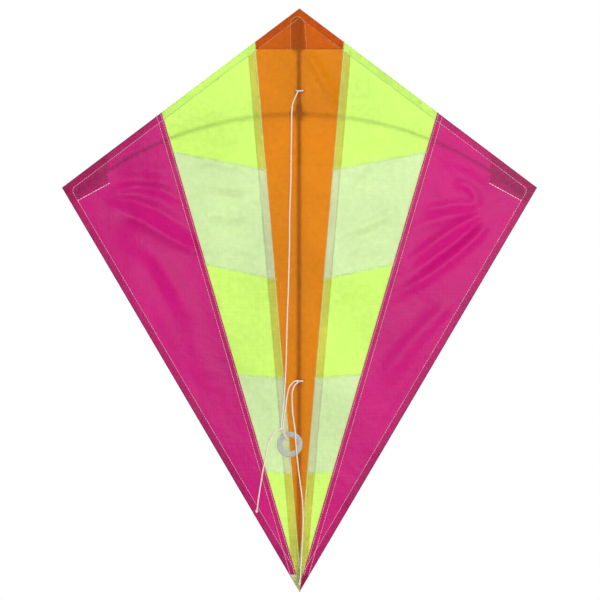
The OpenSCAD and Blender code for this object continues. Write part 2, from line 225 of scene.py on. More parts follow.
class Paint(Graph):
    """A material's node tree."""

    def __init__(self, name: str) -> None:
        """Starts an empty material of that name."""
        self.material = bpy.data.materials.new(name)
        self.material.use_nodes = True
        super().__init__(self.material.node_tree)

    def place(self) -> Socket:
        """Where a point is on the object."""
        return self.add("TexCoord").outputs["Object"]

    def noise(self, at: Socket, scale: float, detail: float, **more: float) -> Socket:
        """The strength of a noise at a place."""
        return self.add("TexNoise", Vector=at, Scale=scale, Detail=detail, **more).outputs["Fac"]

    def stripes(self, at: Socket, way: str, pitch: float) -> Socket:
        """Soft stripes across X or Y."""
        look = {"wave_type": "BANDS", "wave_profile": "SIN", "bands_direction": way}
        return self.add("TexWave", look, Vector=at, Scale=math.pi / 10 / pitch).outputs["Fac"]

    def total(self, *terms: tuple[Socket, float]) -> Socket:
        """Adds up some strengths.

        Args:
            terms: pairs of a strength and its weight.

        Returns:
            The sum of each strength times its weight.
        """
        parts = [self.math("MULTIPLY", value, weight) for value, weight in terms]
        whole = parts[0]
        for part in parts[1:]:
            whole = self.math("ADD", whole, part)
        return whole

    def blend(self, share: Socket, a: object, b: object) -> Socket:
        """Mixes two colours.

        Args:
            share: how much of the second one shows.
            a: a colour or a socket.
            b: another.

        Returns:
            The mix.
        """
        node = self.add("Mix", {"data_type": "RGBA"}, Factor=share)
        self.put(node.inputs[6], a)
        self.put(node.inputs[7], b)
        return node.outputs[2]

    def spread(self, value: Socket, low: float, high: float, to_low: float = 0.0, to_high: float = 1.0) -> Socket:
        """A value moved from one range to another and held inside it."""
        ends = {"From_Min": low, "From_Max": high, "To_Min": to_low, "To_Max": to_high}
        return self.add("MapRange", Value=value, **ends).outputs[0]

    def tones(self, share: Socket, colour: Colour, dark: float, light: float) -> Socket:
        """A colour that runs between a darker and a lighter one."""
        return self.blend(share, shade(colour, dark), shade(colour, light))

    def bump(self, strength: float, *terms: tuple[Socket, float]) -> Socket:
        """The normal over a relief, whose terms are strengths and their heights."""
        return self.add("Bump", Strength=strength, Distance=1.0, Height=self.total(*terms)).outputs[0]

    def skin(self, colour: Socket, rough: object, normal: object, **more: float) -> bpy.types.Node:
        """The surface that is seen from outside."""
        return self.add("BsdfPrincipled", Base_Color=colour, Roughness=rough, Normal=normal, **more)

    def close(self, shader: Socket) -> bpy.types.Material:
        """Links the finished shader to the output and returns the material."""
        self.add("OutputMaterial", Surface=shader)
        return self.material


def shade(colour: Colour, share: float) -> tuple[float, ...]:
    """A colour made darker or lighter, with alpha for a socket."""
    return *(min(1.0, part * share) for part in colour), 1.0


@dataclass(frozen=True)
class Cloth:
    """Thin ripstop that lets light through: its colour from the front, and what it passes from behind."""

    name: str
    colour: Colour
    glow: Colour
    passes: float = 0.83
    roughness: float = 0.40
    shine: float = 0.5
    thread_pitch: float = 0.5 * MM
    rip_pitch: float = 4.5 * MM
    weave_height: float = 0.04 * MM
    rib_height: float = 0.06 * MM
    crumple_height: float = 6 * MM
    fuzz_height: float = 0.3 * MM

    def build(self) -> bpy.types.Material:
        """The material: weave, ripstop grid, crumple, uneven dye, and light through the cloth."""
        g = Paint(self.name)
        at = g.add("UVMap", {"uv_map": "Cloth"}).outputs[0]
        weave = g.math("MULTIPLY", *(g.stripes(at, way, self.thread_pitch) for way in "XY"))
        rib = g.spread(g.math("MAXIMUM", *(g.stripes(at, way, self.rip_pitch) for way in "XY")), 0.9, 1.0)
        crumple = g.noise(at, 13.0, 4.0, Distortion=0.35)
        fuzz = g.noise(at, 150.0, 4.0, Roughness=0.6)
        uneven = g.total((g.noise(at, 7.0, 5.0, Roughness=0.6), 0.6), (fuzz, 0.4))
        tone = g.spread(uneven, 0.34, 0.66)
        front = g.tones(tone, self.colour, 0.9, 1.06)
        front = g.blend(g.math("MULTIPLY", rib, 0.08), front, shade(self.colour, 0.78))
        through = g.tones(tone, self.glow, 0.9, 1.05)
        through = g.blend(g.math("MULTIPLY", rib, 0.07), through, shade(self.glow, 0.72))
        relief = ((weave, self.weave_height), (rib, self.rib_height), (crumple, self.crumple_height))
        bump = g.bump(0.75, *relief, (fuzz, self.fuzz_height))
        rough = g.spread(uneven, 0.3, 0.7, self.roughness - 0.06, self.roughness + 0.1)
        gloss = {"IOR": 1.46, "Sheen_Weight": 0.12, "Sheen_Roughness": 0.4, "Specular_IOR_Level": self.shine}
        skin = g.skin(front, rough, bump, **gloss)
        return g.close(g.share(self.passes, skin, g.add("BsdfTranslucent", Color=through, Normal=bump)))


@dataclass(frozen=True)
class Thread:
    """Sewing thread, or the fibres of a laid cord, with a fine ply along it."""

    name: str
    colour: Colour
    ply: float = 2600.0
    passes: float = 0.15
    roughness: float = 0.62
    fibre_height: float = 0.2 * MM

    def build(self) -> bpy.types.Material:
        """The material: fibres, soft fuzz and a little light through it."""
        g = Paint(self.name)
        at = g.place()
        fibre = g.noise(at, self.ply, 4.0, Roughness=0.7)
        tone = g.total((fibre, 0.6), (g.noise(at, 40.0, 3.0), 0.4))
        colour = g.tones(g.spread(tone, 0.35, 0.65), self.colour, 0.84, 1.05)
        skin = g.skin(colour, self.roughness, g.bump(0.5, (fibre, self.fibre_height)), Sheen_Weight=0.35)
        return g.close(g.share(self.passes, skin, g.add("BsdfTranslucent", Color=colour)))


@dataclass(frozen=True)
class Rod:
    """A drawn fibreglass rod: dark resin with fibres that run along it."""

    name: str
    colour: Colour = (0.034, 0.024, 0.018)
    scuffed: Colour = (0.12, 0.1, 0.085)
    along: tuple[float, float, float] = (1600.0, 1600.0, 18.0)
    fibre_height: float = 0.05 * MM

    def build(self) -> bpy.types.Material:
        """The material: long fibre streaks under a thin resin gloss, with scuffs."""
        g = Paint(self.name)
        at = g.place()
        drawn = g.add("Mapping", Vector=at, Scale=self.along).outputs[0]
        scuff = g.noise(at, 55.0, 6.0, Roughness=0.7)
        fibres = g.spread(g.noise(drawn, 1.0, 5.0), 0.36, 0.66)
        colour = g.tones(fibres, self.colour, 0.7, 1.9)
        colour = g.blend(g.spread(scuff, 0.58, 0.78, 0.0, 0.35), colour, shade(self.scuffed, 1.0))
        rough = g.spread(scuff, 0.35, 0.7, 0.26, 0.5)
        coat = {"Coat_Weight": 0.3, "Coat_Roughness": 0.2}
        return g.close(g.skin(colour, rough, g.bump(0.4, (fibres, self.fibre_height)), **coat).outputs[0])


@dataclass(frozen=True)
class Vinyl:
    """Soft dipped or moulded plastic, with a fine skin and rubbed places."""

    name: str
    colour: Colour = (0.018, 0.017, 0.017)
    rubbed: Colour = (0.07, 0.066, 0.062)
    roughness: float = 0.42
    grain_height: float = 0.06 * MM

    def build(self) -> bpy.types.Material:
        """The material: matt moulded skin with worn patches."""
        g = Paint(self.name)
        at = g.place()
        wear = g.noise(at, 160.0, 6.0, Roughness=0.7)
        colour = g.blend(g.spread(wear, 0.52, 0.74, 0.0, 0.7), shade(self.colour, 1.0), shade(self.rubbed, 1.0))
        rough = g.spread(wear, 0.3, 0.7, self.roughness - 0.06, self.roughness + 0.16)
        bump = g.bump(0.5, (g.noise(at, 1400.0, 3.0), self.grain_height))
        return g.close(g.skin(colour, rough, bump).outputs[0])


@dataclass(frozen=True)
class MilkyPlastic:
    """Milky moulded plastic that lets some light through."""

    name: str
    colour: Colour = (0.60, 0.63, 0.58)
    passes: float = 0.5
    mark_height: float = 0.06 * MM

    def build(self) -> bpy.types.Material:
        """The material: cloudy plastic with fine flow marks and small scratches."""
        g = Paint(self.name)
        at = g.place()
        cloud = g.spread(g.noise(at, 180.0, 5.0, Distortion=1.0), 0.35, 0.65)
        mark = g.noise(at, 900.0, 4.0)
        colour = g.tones(cloud, self.colour, 0.86, 1.08)
        skin = g.skin(colour, g.spread(mark, 0.3, 0.7, 0.2, 0.38), g.bump(0.4, (mark, self.mark_height)))
        return g.close(g.share(self.passes, skin, g.add("BsdfTranslucent", Color=colour)))


class Finish(Enum):
    """Every finish on the kite, with the record's material slot that it belongs to."""

    ORANGE = (Cloth("orange_ripstop", (0.68, 0.22, 0.008), (0.85, 0.49, 0.08), shine=0.3), "orange_cloth")
    NOSE = (Cloth("nose_ripstop", (0.68, 0.12, 0.008), (0.97, 0.70, 0.50), shine=0.2, passes=0.86), "nose_cloth")
    NOSE_HEM = (Cloth("nose_hem_ripstop", (0.66, 0.11, 0.01), (0.97, 0.66, 0.5), shine=0.2, passes=0.88), "nose_cloth")
    LIME = (Cloth("lime_ripstop", (0.62, 0.93, 0.16), (0.79, 0.965, 0.41), shine=0.8), "lime_cloth")
    MINT = (Cloth("mint_ripstop", (0.64, 0.81, 0.40), (0.788, 0.896, 0.628), shine=1.0), "mint_cloth")
    MAGENTA = (Cloth("magenta_ripstop", (0.52, 0.004, 0.17), (0.770, 0.05, 0.445), shine=1.0), "magenta_cloth")
    MAGENTA_HEM = (
        Cloth("magenta_hem_ripstop", (0.50, 0.010, 0.19), (0.95, 0.40, 0.90), shine=0.7, passes=0.86),
        "magenta_cloth",
    )
    # Magenta cloth at half brightness that lets little light through: painted shade, a dark line along the rolled edges
    # and the outer seam's fold.
    MAGENTA_EDGE = (Cloth("magenta_edge_ripstop", (0.26, 0.008, 0.10), (0.40, 0.05, 0.28), passes=0.4), "magenta_cloth")
    SEAM = (Cloth("seam_ripstop", (0.94, 0.40, 0.08), (1.0, 0.67, 0.54), passes=0.96), "seam_cloth")
    PALE_SEAM = (Cloth("pale_seam_ripstop", (0.94, 0.72, 0.66), (1.0, 0.87, 1.0), passes=0.98), "seam_cloth")
    FELLED_SEAM = (Cloth("felled_seam_ripstop", (0.92, 0.50, 0.24), (1.0, 0.77, 0.86), passes=0.96), "seam_cloth")
    SEAM_EDGE = (Cloth("seam_edge_ripstop", (0.98, 0.66, 0.26), (1.0, 0.78, 0.5), passes=0.3), "seam_cloth")
    LIME_HEM = (Cloth("lime_hem_ripstop", (0.62, 0.94, 0.30), (1.0, 1.0, 1.0), passes=0.96), "lime_cloth")
    TAIL = (Cloth("tail_ripstop", (0.62, 0.62, 0.30), (0.86, 0.87, 0.66)), "tail_cloth")
    PINK_THREAD = (Thread("pink_thread", (0.94, 0.32, 0.56)), "magenta_cloth")
    WHITE_THREAD = (Thread("white_thread", (1.0, 0.84, 0.90)), "magenta_cloth")
    PALE_THREAD = (Thread("pale_thread", (1.0, 0.88, 0.50), passes=0.3), "seam_cloth")
    LIME_THREAD = (Thread("lime_thread", (0.86, 0.98, 0.60), passes=0.6), "lime_cloth")
    ORANGE_THREAD = (Thread("orange_thread", (0.92, 0.44, 0.14), passes=0.4), "orange_cloth")
    CORD = (Thread("laid_cord", (0.80, 0.68, 0.60), ply=1500.0, passes=0.12), "cord")
    SPINE = (Rod("spine_rod"), "rod")
    SPAR = (Rod("spar_rod", along=(18.0, 1600.0, 1600.0)), "rod")
    VINYL = (Vinyl("black_vinyl"), "end_cap")
    MELT = (Vinyl("melted_hole_rim", (0.13, 0.04, 0.008), (0.30, 0.10, 0.02)), "orange_cloth")
    RING = (MilkyPlastic("milky_plastic"), "ring_plastic")

    @property
    def material(self) -> bpy.types.Material:
        """This finish's material, which is built once."""
        recipe = self.value[0]
        return bpy.data.materials.get(recipe.name) or recipe.build()

    def put_on(self, obj: Piece) -> Piece:
        """Gives an object this finish.

        Args:
            obj: the piece.

        Returns:
            The piece.
        """
        obj.data.materials.clear()
        obj.data.materials.append(self.material)
        return obj


class Pattern(Graph):
    """A Geometry Nodes tree that makes a mesh along lines."""

    def __init__(self, name: str, sizes: dict[str, float]) -> None:
        """Starts a tree.

        Args:
            name: the tree's name.
            sizes: its named inputs.
        """
        super().__init__(bpy.data.node_groups.new(name, "GeometryNodeTree"))
        self.sizes = sizes
        face = self.tree.interface
        face.new_socket("Lines", in_out="INPUT", socket_type="NodeSocketGeometry")
        for key, value in sizes.items():
            kind = "NodeSocketInt" if isinstance(value, int) else "NodeSocketFloat"
            face.new_socket(key, in_out="INPUT", socket_type=kind).default_value = value
        face.new_socket("Made", in_out="OUTPUT", socket_type="NodeSocketGeometry")
        self.given = self.add("NodeGroupInput").outputs

    def grow(self, name: str, routes: list[list], made: Socket, finish: Finish) -> Piece:
        """Ends the tree and runs it on some lines.

        Args:
            name: the object's name.
            routes: the points of each line.
            made: the geometry that the tree has made.
            finish: its finish.

        Returns:
            The result as a plain mesh.
        """
        real = self.add("GeometryNodeRealizeInstances", Geometry=made).outputs[0]
        smooth = self.add("GeometryNodeSetShadeSmooth", Geometry=real).outputs[0]
        dressed = self.add("GeometryNodeSetMaterial", Geometry=smooth, Material=finish.material).outputs[0]
        self.put(self.add("NodeGroupOutput").inputs[0], dressed)
        curve = bpy.data.curves.new(name, "CURVE")
        curve.dimensions = "3D"
        for route in routes:
            spline = curve.splines.new("POLY")
            spline.points.add(len(route) - 1)
            spline.points.foreach_set("co", [c for p in route for c in (*p, 1.0)])
        lines = in_scene(f"{name}_lines", curve)
        grown = lines.modifiers.new("Grown", "NODES")
        grown.node_group = self.tree
        for item in self.tree.interface.items_tree:
            if item.in_out == "INPUT" and item.name in self.sizes:
                grown[item.identifier] = self.sizes[item.name]
        mesh = evaluated(lines)
        bpy.data.objects.remove(lines)
        return finish.put_on(in_scene(name, mesh))


# Meshes


def in_scene(name: str, data: bpy.types.ID) -> Piece:
    """A new object in the scene, with that data."""
    obj = bpy.data.objects.new(name, data)
    bpy.context.scene.collection.objects.link(obj)
    return obj


def evaluated(obj: Piece) -> bpy.types.Mesh:
    """A plain mesh of an object as its modifiers leave it."""
    bpy.context.view_layer.update()
    depsgraph = bpy.context.evaluated_depsgraph_get()
    return bpy.data.meshes.new_from_object(obj.evaluated_get(depsgraph), depsgraph=depsgraph)


def object_from(name: str, bm: bmesh.types.BMesh, angle: float = 40.0) -> Piece:
    """A scene object from a bmesh, smooth but for sharp edges.

    Args:
        name: the object's name.
        bm: the mesh, which is freed.
        angle: edges sharper than this many degrees stay sharp.

    Returns:
        The object, in the scene.
    """
    mesh = bpy.data.meshes.new(name)
    bm.to_mesh(mesh)
    bm.free()
    mesh.polygons.foreach_set("use_smooth", [True] * len(mesh.polygons))
    mesh.set_sharp_from_angle(angle=math.radians(angle))
    return in_scene(name, mesh)


def merged(name: str, parts: list[Piece], angle: float) -> Piece:
    """Makes one object of several.

    Args:
        name: its name.
        parts: the objects, which are removed.
        angle: its edges' sharp angle, as object_from() takes it.

    Returns:
        The whole.
    """
    bm = bmesh.new()
    for part in parts:
        bm.from_mesh(part.data)
        bpy.data.objects.remove(part)
    return object_from(name, bm, angle)


def stands_for(obj: Piece, finish: Finish, body: str | None, *nodes: str) -> Piece:
    """Dresses a piece and places it.

    Args:
        obj: the piece.
        finish: its finish.
        body: the CAD body that it rides on, or None where it rides on none.
        nodes: the CAD nodes that it replaces.

    Returns:
        The piece.
    """
    finish.put_on(obj)
    if nodes:
        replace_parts(obj, *nodes)
    if body:
        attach(obj, body)
    return obj


def smooth_route(points: list[Vector], step: float) -> list[Vector]:
    """A smooth curve through every point of a route.

    Args:
        points: the route.
        step: the distance between the points given back.

    Returns:
        Close points along the curve.
    """
    ends = [points[0] * 2 - points[1]] + points + [points[-1] * 2 - points[-2]]
    route: list[Vector] = []
    for a, b, c, d in zip(ends, ends[1:], ends[2:], ends[3:]):
        count = max(2, round((c - b).length / step))
        for i in range(count):
            t = i / count
            bend = (2 * a - 5 * b + 4 * c - d) * t * t + (3 * b - a - 3 * c + d) * t * t * t
            route.append(0.5 * (2 * b + (c - a) * t + bend))
    return [*route, points[-1]]


@dataclass
class LaidCord:
    """Three-strand laid cord along a route: its strands wind round each other."""

    name: str
    route: list[Vector]
    diameter: float
    closed: bool = False
    lay: float = 5.2 * MM
    strands: int = 3
    sides: int = 12
    groove: float = 0.09

    def build(self) -> Piece:
        """The cord as a closed mesh tube, which isn't wound on where it is closed to a loop."""
        bm = bmesh.new()
        uv = bm.loops.layers.uv.new("Cloth")
        n = len(self.route)
        side = Y_AXIS.copy()
        rings: list[list[bmesh.types.BMVert]] = []
        length = sum((b - a).length for a, b in zip(self.route, self.route[1:]))
        wind = 2 * math.pi * (round(length / self.lay) / length if self.closed else 1 / self.lay)
        run = 0.0
        for i, p in enumerate(self.route):
            before = self.route[(i - 1) % n] if self.closed or i else p
            after = self.route[(i + 1) % n] if self.closed or i < n - 1 else p
            along = (after - before).normalized()
            side = (side - along * side.dot(along)).normalized()
            other = along.cross(side)
            if i:
                run += (p - self.route[i - 1]).length
            ring = []
            for k in range(self.sides):
                a = 2 * math.pi * k / self.sides
                swell = 1 - self.groove + self.groove * math.cos(self.strands * a + run * wind)
                ring.append(bm.verts.new(p + (side * math.cos(a) + other * math.sin(a)) * self.diameter / 2 * swell))
            rings.append(ring)
        pairs = list(zip(rings, rings[1:])) + ([(rings[-1], rings[0])] if self.closed else [])
        for j, (a, b) in enumerate(pairs):
            for k in range(self.sides):
                m = (k + 1) % self.sides
                face = bm.faces.new((a[k], b[k], b[m], a[m]))
                for loop, (u, v) in zip(face.loops, ((j, k), (j + 1, k), (j + 1, k + 1), (j, k + 1))):
                    loop[uv].uv = (u * MM, v * self.diameter * 3 / self.sides)
        if not self.closed:
            for end, near in ((0, 1), (-1, -2)):
                p, ring = self.route[end], rings[end]
                tip = bm.verts.new(p + (p - self.route[near]).normalized() * self.diameter * 0.25)
                for k in range(self.sides):
                    bm.faces.new((ring[k], ring[(k + 1) % self.sides], tip))
        bmesh.ops.recalc_face_normals(bm, faces=bm.faces)
        return object_from(self.name, bm, 60)


def turned(name: str, profile: list[Point], place: Matrix, steps: int = 48, ring: bool = False) -> Piece:
    """A shape of revolution.

    Args:
        name: the object's name.
        profile: (radius, height) pairs; an end at radius 0 closes to a pole.
        place: where its base and axis, which is Z before this, go.
        steps: how many steps round.
        ring: True where the profile is closed, as a ring's section is.

    Returns:
        The object, with its place in its mesh.
    """
    bm = bmesh.new()
    turn = [2 * math.pi * k / steps for k in range(steps)]
    rings = [
        [bm.verts.new((r * math.cos(a), r * math.sin(a), h)) for a in (turn if r > 1e-7 else turn[:1])]
        for r, h in profile
    ]
    for a, b in list(zip(rings, rings[1:])) + ([(rings[-1], rings[0])] if ring else []):
        for k in range(steps):
            m = (k + 1) % steps
            corners = [a[k % len(a)], a[m % len(a)], b[m % len(b)], b[k % len(b)]]
            bm.faces.new(list(dict.fromkeys(corners)))
    bmesh.ops.transform(bm, matrix=place, verts=bm.verts)
    bmesh.ops.recalc_face_normals(bm, faces=bm.faces)
    return object_from(name, bm, 50)


def along_axis(origin: Vector, direction: Vector) -> Matrix:
    """The placement that takes Z to a direction and the origin to a point."""
    return Matrix.Translation(origin) @ direction.to_track_quat("Z", "Y").to_matrix().to_4x4()


# The plan of the sail


@dataclass(frozen=True)
class Fold:
    """A soft crease, in millimetres: it pushes the cloth back by its depth, or forward where that is below 0."""

    line: tuple[Point, ...]
    width: float
    depth: float

    def push(self, x: float, z: float) -> float:
        """How far this crease moves the cloth at a place.

        Args:
            x: the place across, in metres.
            z: the place up, in metres.

        Returns:
            The distance along Y.
        """
        nearest, share = 1.0, 0.0
        line = [(px * MM, pz * MM) for px, pz in self.line]
        for i, (a, b) in enumerate(zip(line, line[1:])):
            dx, dz = b[0] - a[0], b[1] - a[1]
            t = min(1.0, max(0.0, ((x - a[0]) * dx + (z - a[1]) * dz) / (dx * dx + dz * dz)))
            off = math.hypot(x - a[0] - dx * t, z - a[1] - dz * t)
            if off < nearest:
                nearest, share = off, (i + t) / (len(line) - 1)
        width = self.width * MM
        if nearest > 3 * width:
            return 0.0
        ends = smooth_step(-0.05, 0.3, share) * smooth_step(1.1, 0.7, share)
        return self.depth * MM * ends * math.exp(-((nearest / width) ** 2))


@dataclass
class SailPlan:
    """The flat plan of the sail, on the right-hand side, and how far each place of it stands back."""

    half_width: float = 285 * MM
    nose_z: float = 123 * MM
    tip_z: float = -92 * MM
    tail_z: float = -577 * MM
    centre_half: float = 53 * MM
    centre_end: float = 40 * MM
    strip_half: float = 166 * MM
    strip_end: float = 5 * MM
    tab_height: float = 21 * MM
    hem: float = 9 * MM
    inner_allowance: float = 10 * MM
    outer_allowance: float = 7 * MM
    front_y: float = -9.05 * MM
    second_y: float = -8.55 * MM
    turned_in_y: float = -8.35 * MM
    third_y: float = -8.15 * MM
    cloth: float = 0.18 * MM
    billow: float = 1.6 * MM
    folds: dict[Side, tuple[Fold, ...]] = field(
        default_factory=lambda: {
            Side.LEFT: (
                Fold(((234, -98), (196, -91), (166, -95), (140, -108)), 6, -3),
                Fold(((234, -107), (200, -108), (170, -119), (128, -146)), 6.5, -3.6),
                Fold(((222, -117), (190, -131), (154, -152), (110, -174)), 7.8, 5),
                Fold(((215, -76), (188, -70), (150, -76)), 8.5, -1.6),
                Fold(((216, -136), (172, -178), (118, -262)), 15, -3.8),
                Fold(((176, -215), (140, -265), (90, -345)), 16, -2.2),
                Fold(((200, -150), (166, -215), (126, -300)), 11, 1.8),
                Fold(((136, -66), (98, -72), (60, -82)), 6, -2.9),
                Fold(((128, -98), (92, -104), (58, -108)), 6.5, -2.9),
                Fold(((120, -134), (88, -140), (54, -142)), 6.5, -2.7),
                Fold(((104, -168), (76, -176), (46, -182)), 6, -2.3),
                Fold(((112, -84), (86, -92), (66, -96)), 5.5, 2.5),
                Fold(((110, -120), (86, -126), (62, -128)), 5.5, 2.3),
                Fold(((74, -318), (52, -344), (34, -372)), 5, 1.8),
                Fold(((150, -36), (110, -44), (70, -50)), 9, -2.2),
            ),
            Side.RIGHT: (
                Fold(((184, -84), (204, -91), (219, -113)), 6, -2.8),
                Fold(((224, -113), (192, -112), (150, -119)), 6, -2.6),
                Fold(((232, -117), (196, -135), (166, -155), (126, -186)), 6.2, -3.4),
                Fold(((232, -126), (212, -151), (184, -176), (150, -201), (108, -226)), 6.8, -4),
                Fold(((220, -128), (190, -156), (136, -196)), 6, 3.2),
                Fold(((188, -224), (140, -270), (90, -332)), 11, -3.4),
                Fold(((166, -54), (204, -66), (232, -86)), 9, -1.8),
                Fold(((214, -124), (180, -126), (136, -140)), 7, 2.4),
                Fold(((160, -290), (120, -335), (70, -410)), 12, 1.4),
                Fold(((60, -96), (86, -78), (120, -58)), 6, -2.9),
                Fold(((52, -158), (80, -146), (112, -132)), 6.5, -3.1),
                Fold(((62, -146), (86, -138), (112, -122)), 6, 2.5),
                Fold(((56, -170), (80, -178), (104, -174)), 6, -2.3),
                Fold(((48, -244), (66, -224), (90, -206)), 7, -1.8),
                Fold(((30, -372), (46, -356), (68, -334)), 5, -1.6),
                Fold(((150, -36), (110, -42), (70, -46)), 9, -2.2),
            ),
        }
    )
    centre_folds: tuple[Fold, ...] = (
        Fold(((3, 82), (22, 50), (52, -4)), 6.2, 4.6),
        Fold(((-46, 58), (-30, 40), (-12, 30)), 7, 1),
        Fold(((-46, -38), (0, -44), (46, -38)), 5, 1.2),
        Fold(((-42, -62), (0, -60), (42, -64)), 4, 1),
        Fold(((2, -198), (18, -182), (36, -160)), 4.5, 1.1),
        Fold(((-36, -204), (0, -206), (36, -202)), 5, 1.2),
        Fold(((10, -302), (18, -254), (32, -204)), 5, 1.1),
        Fold(((-22, -320), (0, -328), (22, -320)), 5, 1),
    )

    def __post_init__(self) -> None:
        """Works out the corners and the seams."""
        self.nose: Point = (0.0, self.nose_z)
        self.tip: Point = (self.half_width, self.tip_z)
        self.tail: Point = (0.0, self.tail_z)
        self.inner_top = between(self.nose, self.tip, self.centre_half / self.half_width)
        self.inner_low: Point = (0.0, self.tail_z + self.centre_end)
        self.outer_top = between(self.nose, self.tip, self.strip_half / self.half_width)
        self.outer_low: Point = (0.0, self.tail_z + self.strip_end)
        self.tab_top = self.tail_z + self.tab_height
        self.tab_half = self.x_at(self.tip, self.tail, self.tab_top)

    def x_at(self, a: Point, b: Point, z: float) -> float:
        """Where the line from a to b stands at a height."""
        return a[0] + (b[0] - a[0]) * (z - a[1]) / (b[1] - a[1])

    def depth(self, x: float, z: float) -> float:
        """How far the cloth stands back from its flat plane at a place.

        Args:
            x: the place across; the left is below 0.
            z: the place up.

        Returns:
            The distance along Y.
        """
        p = (abs(x), z)
        out = past(p, self.inner_top, self.inner_low)
        if out <= 0:
            room = smooth_step(0.0, -8 * MM, out) * smooth_step(self.nose_z - 52 * MM, self.nose_z - 62 * MM, z)
            return room * sum(f.push(x, z) for f in self.centre_folds)
        edge = min(abs(past(p, self.tip, self.tail)), abs(past(p, self.nose, self.tip)))
        held = smooth_step(0.0, 22 * MM, out) * smooth_step(6 * MM, 24 * MM, edge)
        near_tip = smooth_step(26 * MM, 62 * MM, math.dist(p, self.tip))
        folds = sum(f.push(*p) for f in self.folds[Side.RIGHT if x > 0 else Side.LEFT])
        billow = self.billow * smooth_step(20 * MM, 120 * MM, out) * smooth_step(0.0, 60 * MM, edge)
        return near_tip * (held * folds + billow)

    def half(self) -> Outline:
        """The right half of the sail."""
        return [self.nose, self.tip, self.tail]

    def wing(self) -> Outline:
        """The right half less the centre panel and the tail tab."""
        outline = beyond(self.half(), self.inner_top, self.inner_low)
        return beyond(outline, (0.0, self.tab_top), (1.0, self.tab_top))

    def strip(self) -> Outline:
        """The green strip between the two seams."""
        return short_of(self.wing(), self.outer_top, self.outer_low)

    def magenta(self) -> Outline:
        """The outer panel."""
        return beyond(self.wing(), self.outer_top, self.outer_low)

    def strip_edge(self, inner_drop: float, outer_drop: float) -> tuple[Point, Point]:
        """A panel's edge across the strip.

        Args:
            inner_drop: its distance below the nose at the inner seam.
            outer_drop: its distance below the nose at the outer seam.

        Returns:
            Its two ends, inner first.
        """
        low, high = self.nose_z - inner_drop, self.nose_z - outer_drop
        inner = (self.x_at(self.inner_top, self.inner_low, low), low)
        return inner, (self.x_at(self.outer_top, self.outer_low, high), high)


PLAN = SailPlan()


@dataclass
class ClothPiece:
    """A thin sheet of cloth with a convex outline, lying in one layer of the sail."""

    name: str
    outline: Outline
    layer: float
    side: Side = Side.RIGHT
    spacing: float = 2.5 * MM
    bulge: Bulge | None = None
    ease: float = 1.0

    def build(self) -> Piece:
        """The sheet, cut into a fine grid, moved to the sail's shape and closed to a thin solid."""
        bm = bmesh.new()
        sign = self.side.value
        bm.faces.new([bm.verts.new((x * sign, 0, z)) for x, z in self.outline])
        for axis, normal in ((0, X_AXIS), (2, Z_AXIS)):
            values = [v.co[axis] for v in bm.verts]
            for i in range(math.ceil(min(values) / self.spacing), math.floor(max(values) / self.spacing) + 1):
                geom = bm.verts[:] + bm.edges[:] + bm.faces[:]
                bmesh.ops.bisect_plane(bm, geom=geom, plane_co=normal * i * self.spacing, plane_no=normal, dist=1e-6)
        for v in bm.verts:
            x, z = v.co.x, v.co.z
            v.co.y = self.layer + PLAN.depth(x, z) + (self.bulge(x * sign, z) if self.bulge else 0.0)
        made = bmesh.ops.extrude_face_region(bm, geom=bm.faces[:])
        for item in made["geom"]:
            if isinstance(item, bmesh.types.BMVert):
                item.co.y += PLAN.cloth
        bmesh.ops.recalc_face_normals(bm, faces=bm.faces)
        uv = bm.loops.layers.uv.new("Cloth")
        for face in bm.faces:
            for loop in face.loops:
                loop[uv].uv = (loop.vert.co.x, loop.vert.co.z)
        return object_from(self.name, bm, 35)

    def declare(self, obj: Piece, with_pieces: list[Piece] | None = None) -> None:
        """Does nothing: the size that the sheet was cut to is not stated.

        Args:
            obj: the made sheet; not used.
            with_pieces: the pieces sewn to it; not used.
        """


def hang_on(obj: Piece) -> None:
    """Bakes a piece's placement into its mesh; it doesn't bend with its wing.

    Args:
        obj: the piece.
    """
    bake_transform(obj)


def edge_bead(
    name: str, a: Point, b: Point, side: Side, finish: Finish, radius: float = 0.42 * MM, sink: float = 0.3 * MM
) -> Piece:
    """The rolled edge of a hem: a soft bead from a to b.

    Args:
        name: the object's name.
        a: one end on the sail's edge.
        b: the other, lower down.
        side: the wing that it is on.
        finish: its finish.
        radius: half the bead's thickness.
        sink: how far its middle is behind the cloth's front.

    Returns:
        The bead.
    """
    count = max(3, round(math.dist(a, b) / (4 * MM)))
    n = away(a, b)
    route = []
    for i in range(count + 1):
        x, z = between(a, b, i / count)
        x, z = (x - n[0] * radius) * side.value, z - n[1] * radius
        route.append(Vector((x, PLAN.front_y + sink + PLAN.depth(x, z), z)))
    return finish.put_on(LaidCord(name, route, 2 * radius, lay=1.0, strands=1, sides=8).build())


# Stitches


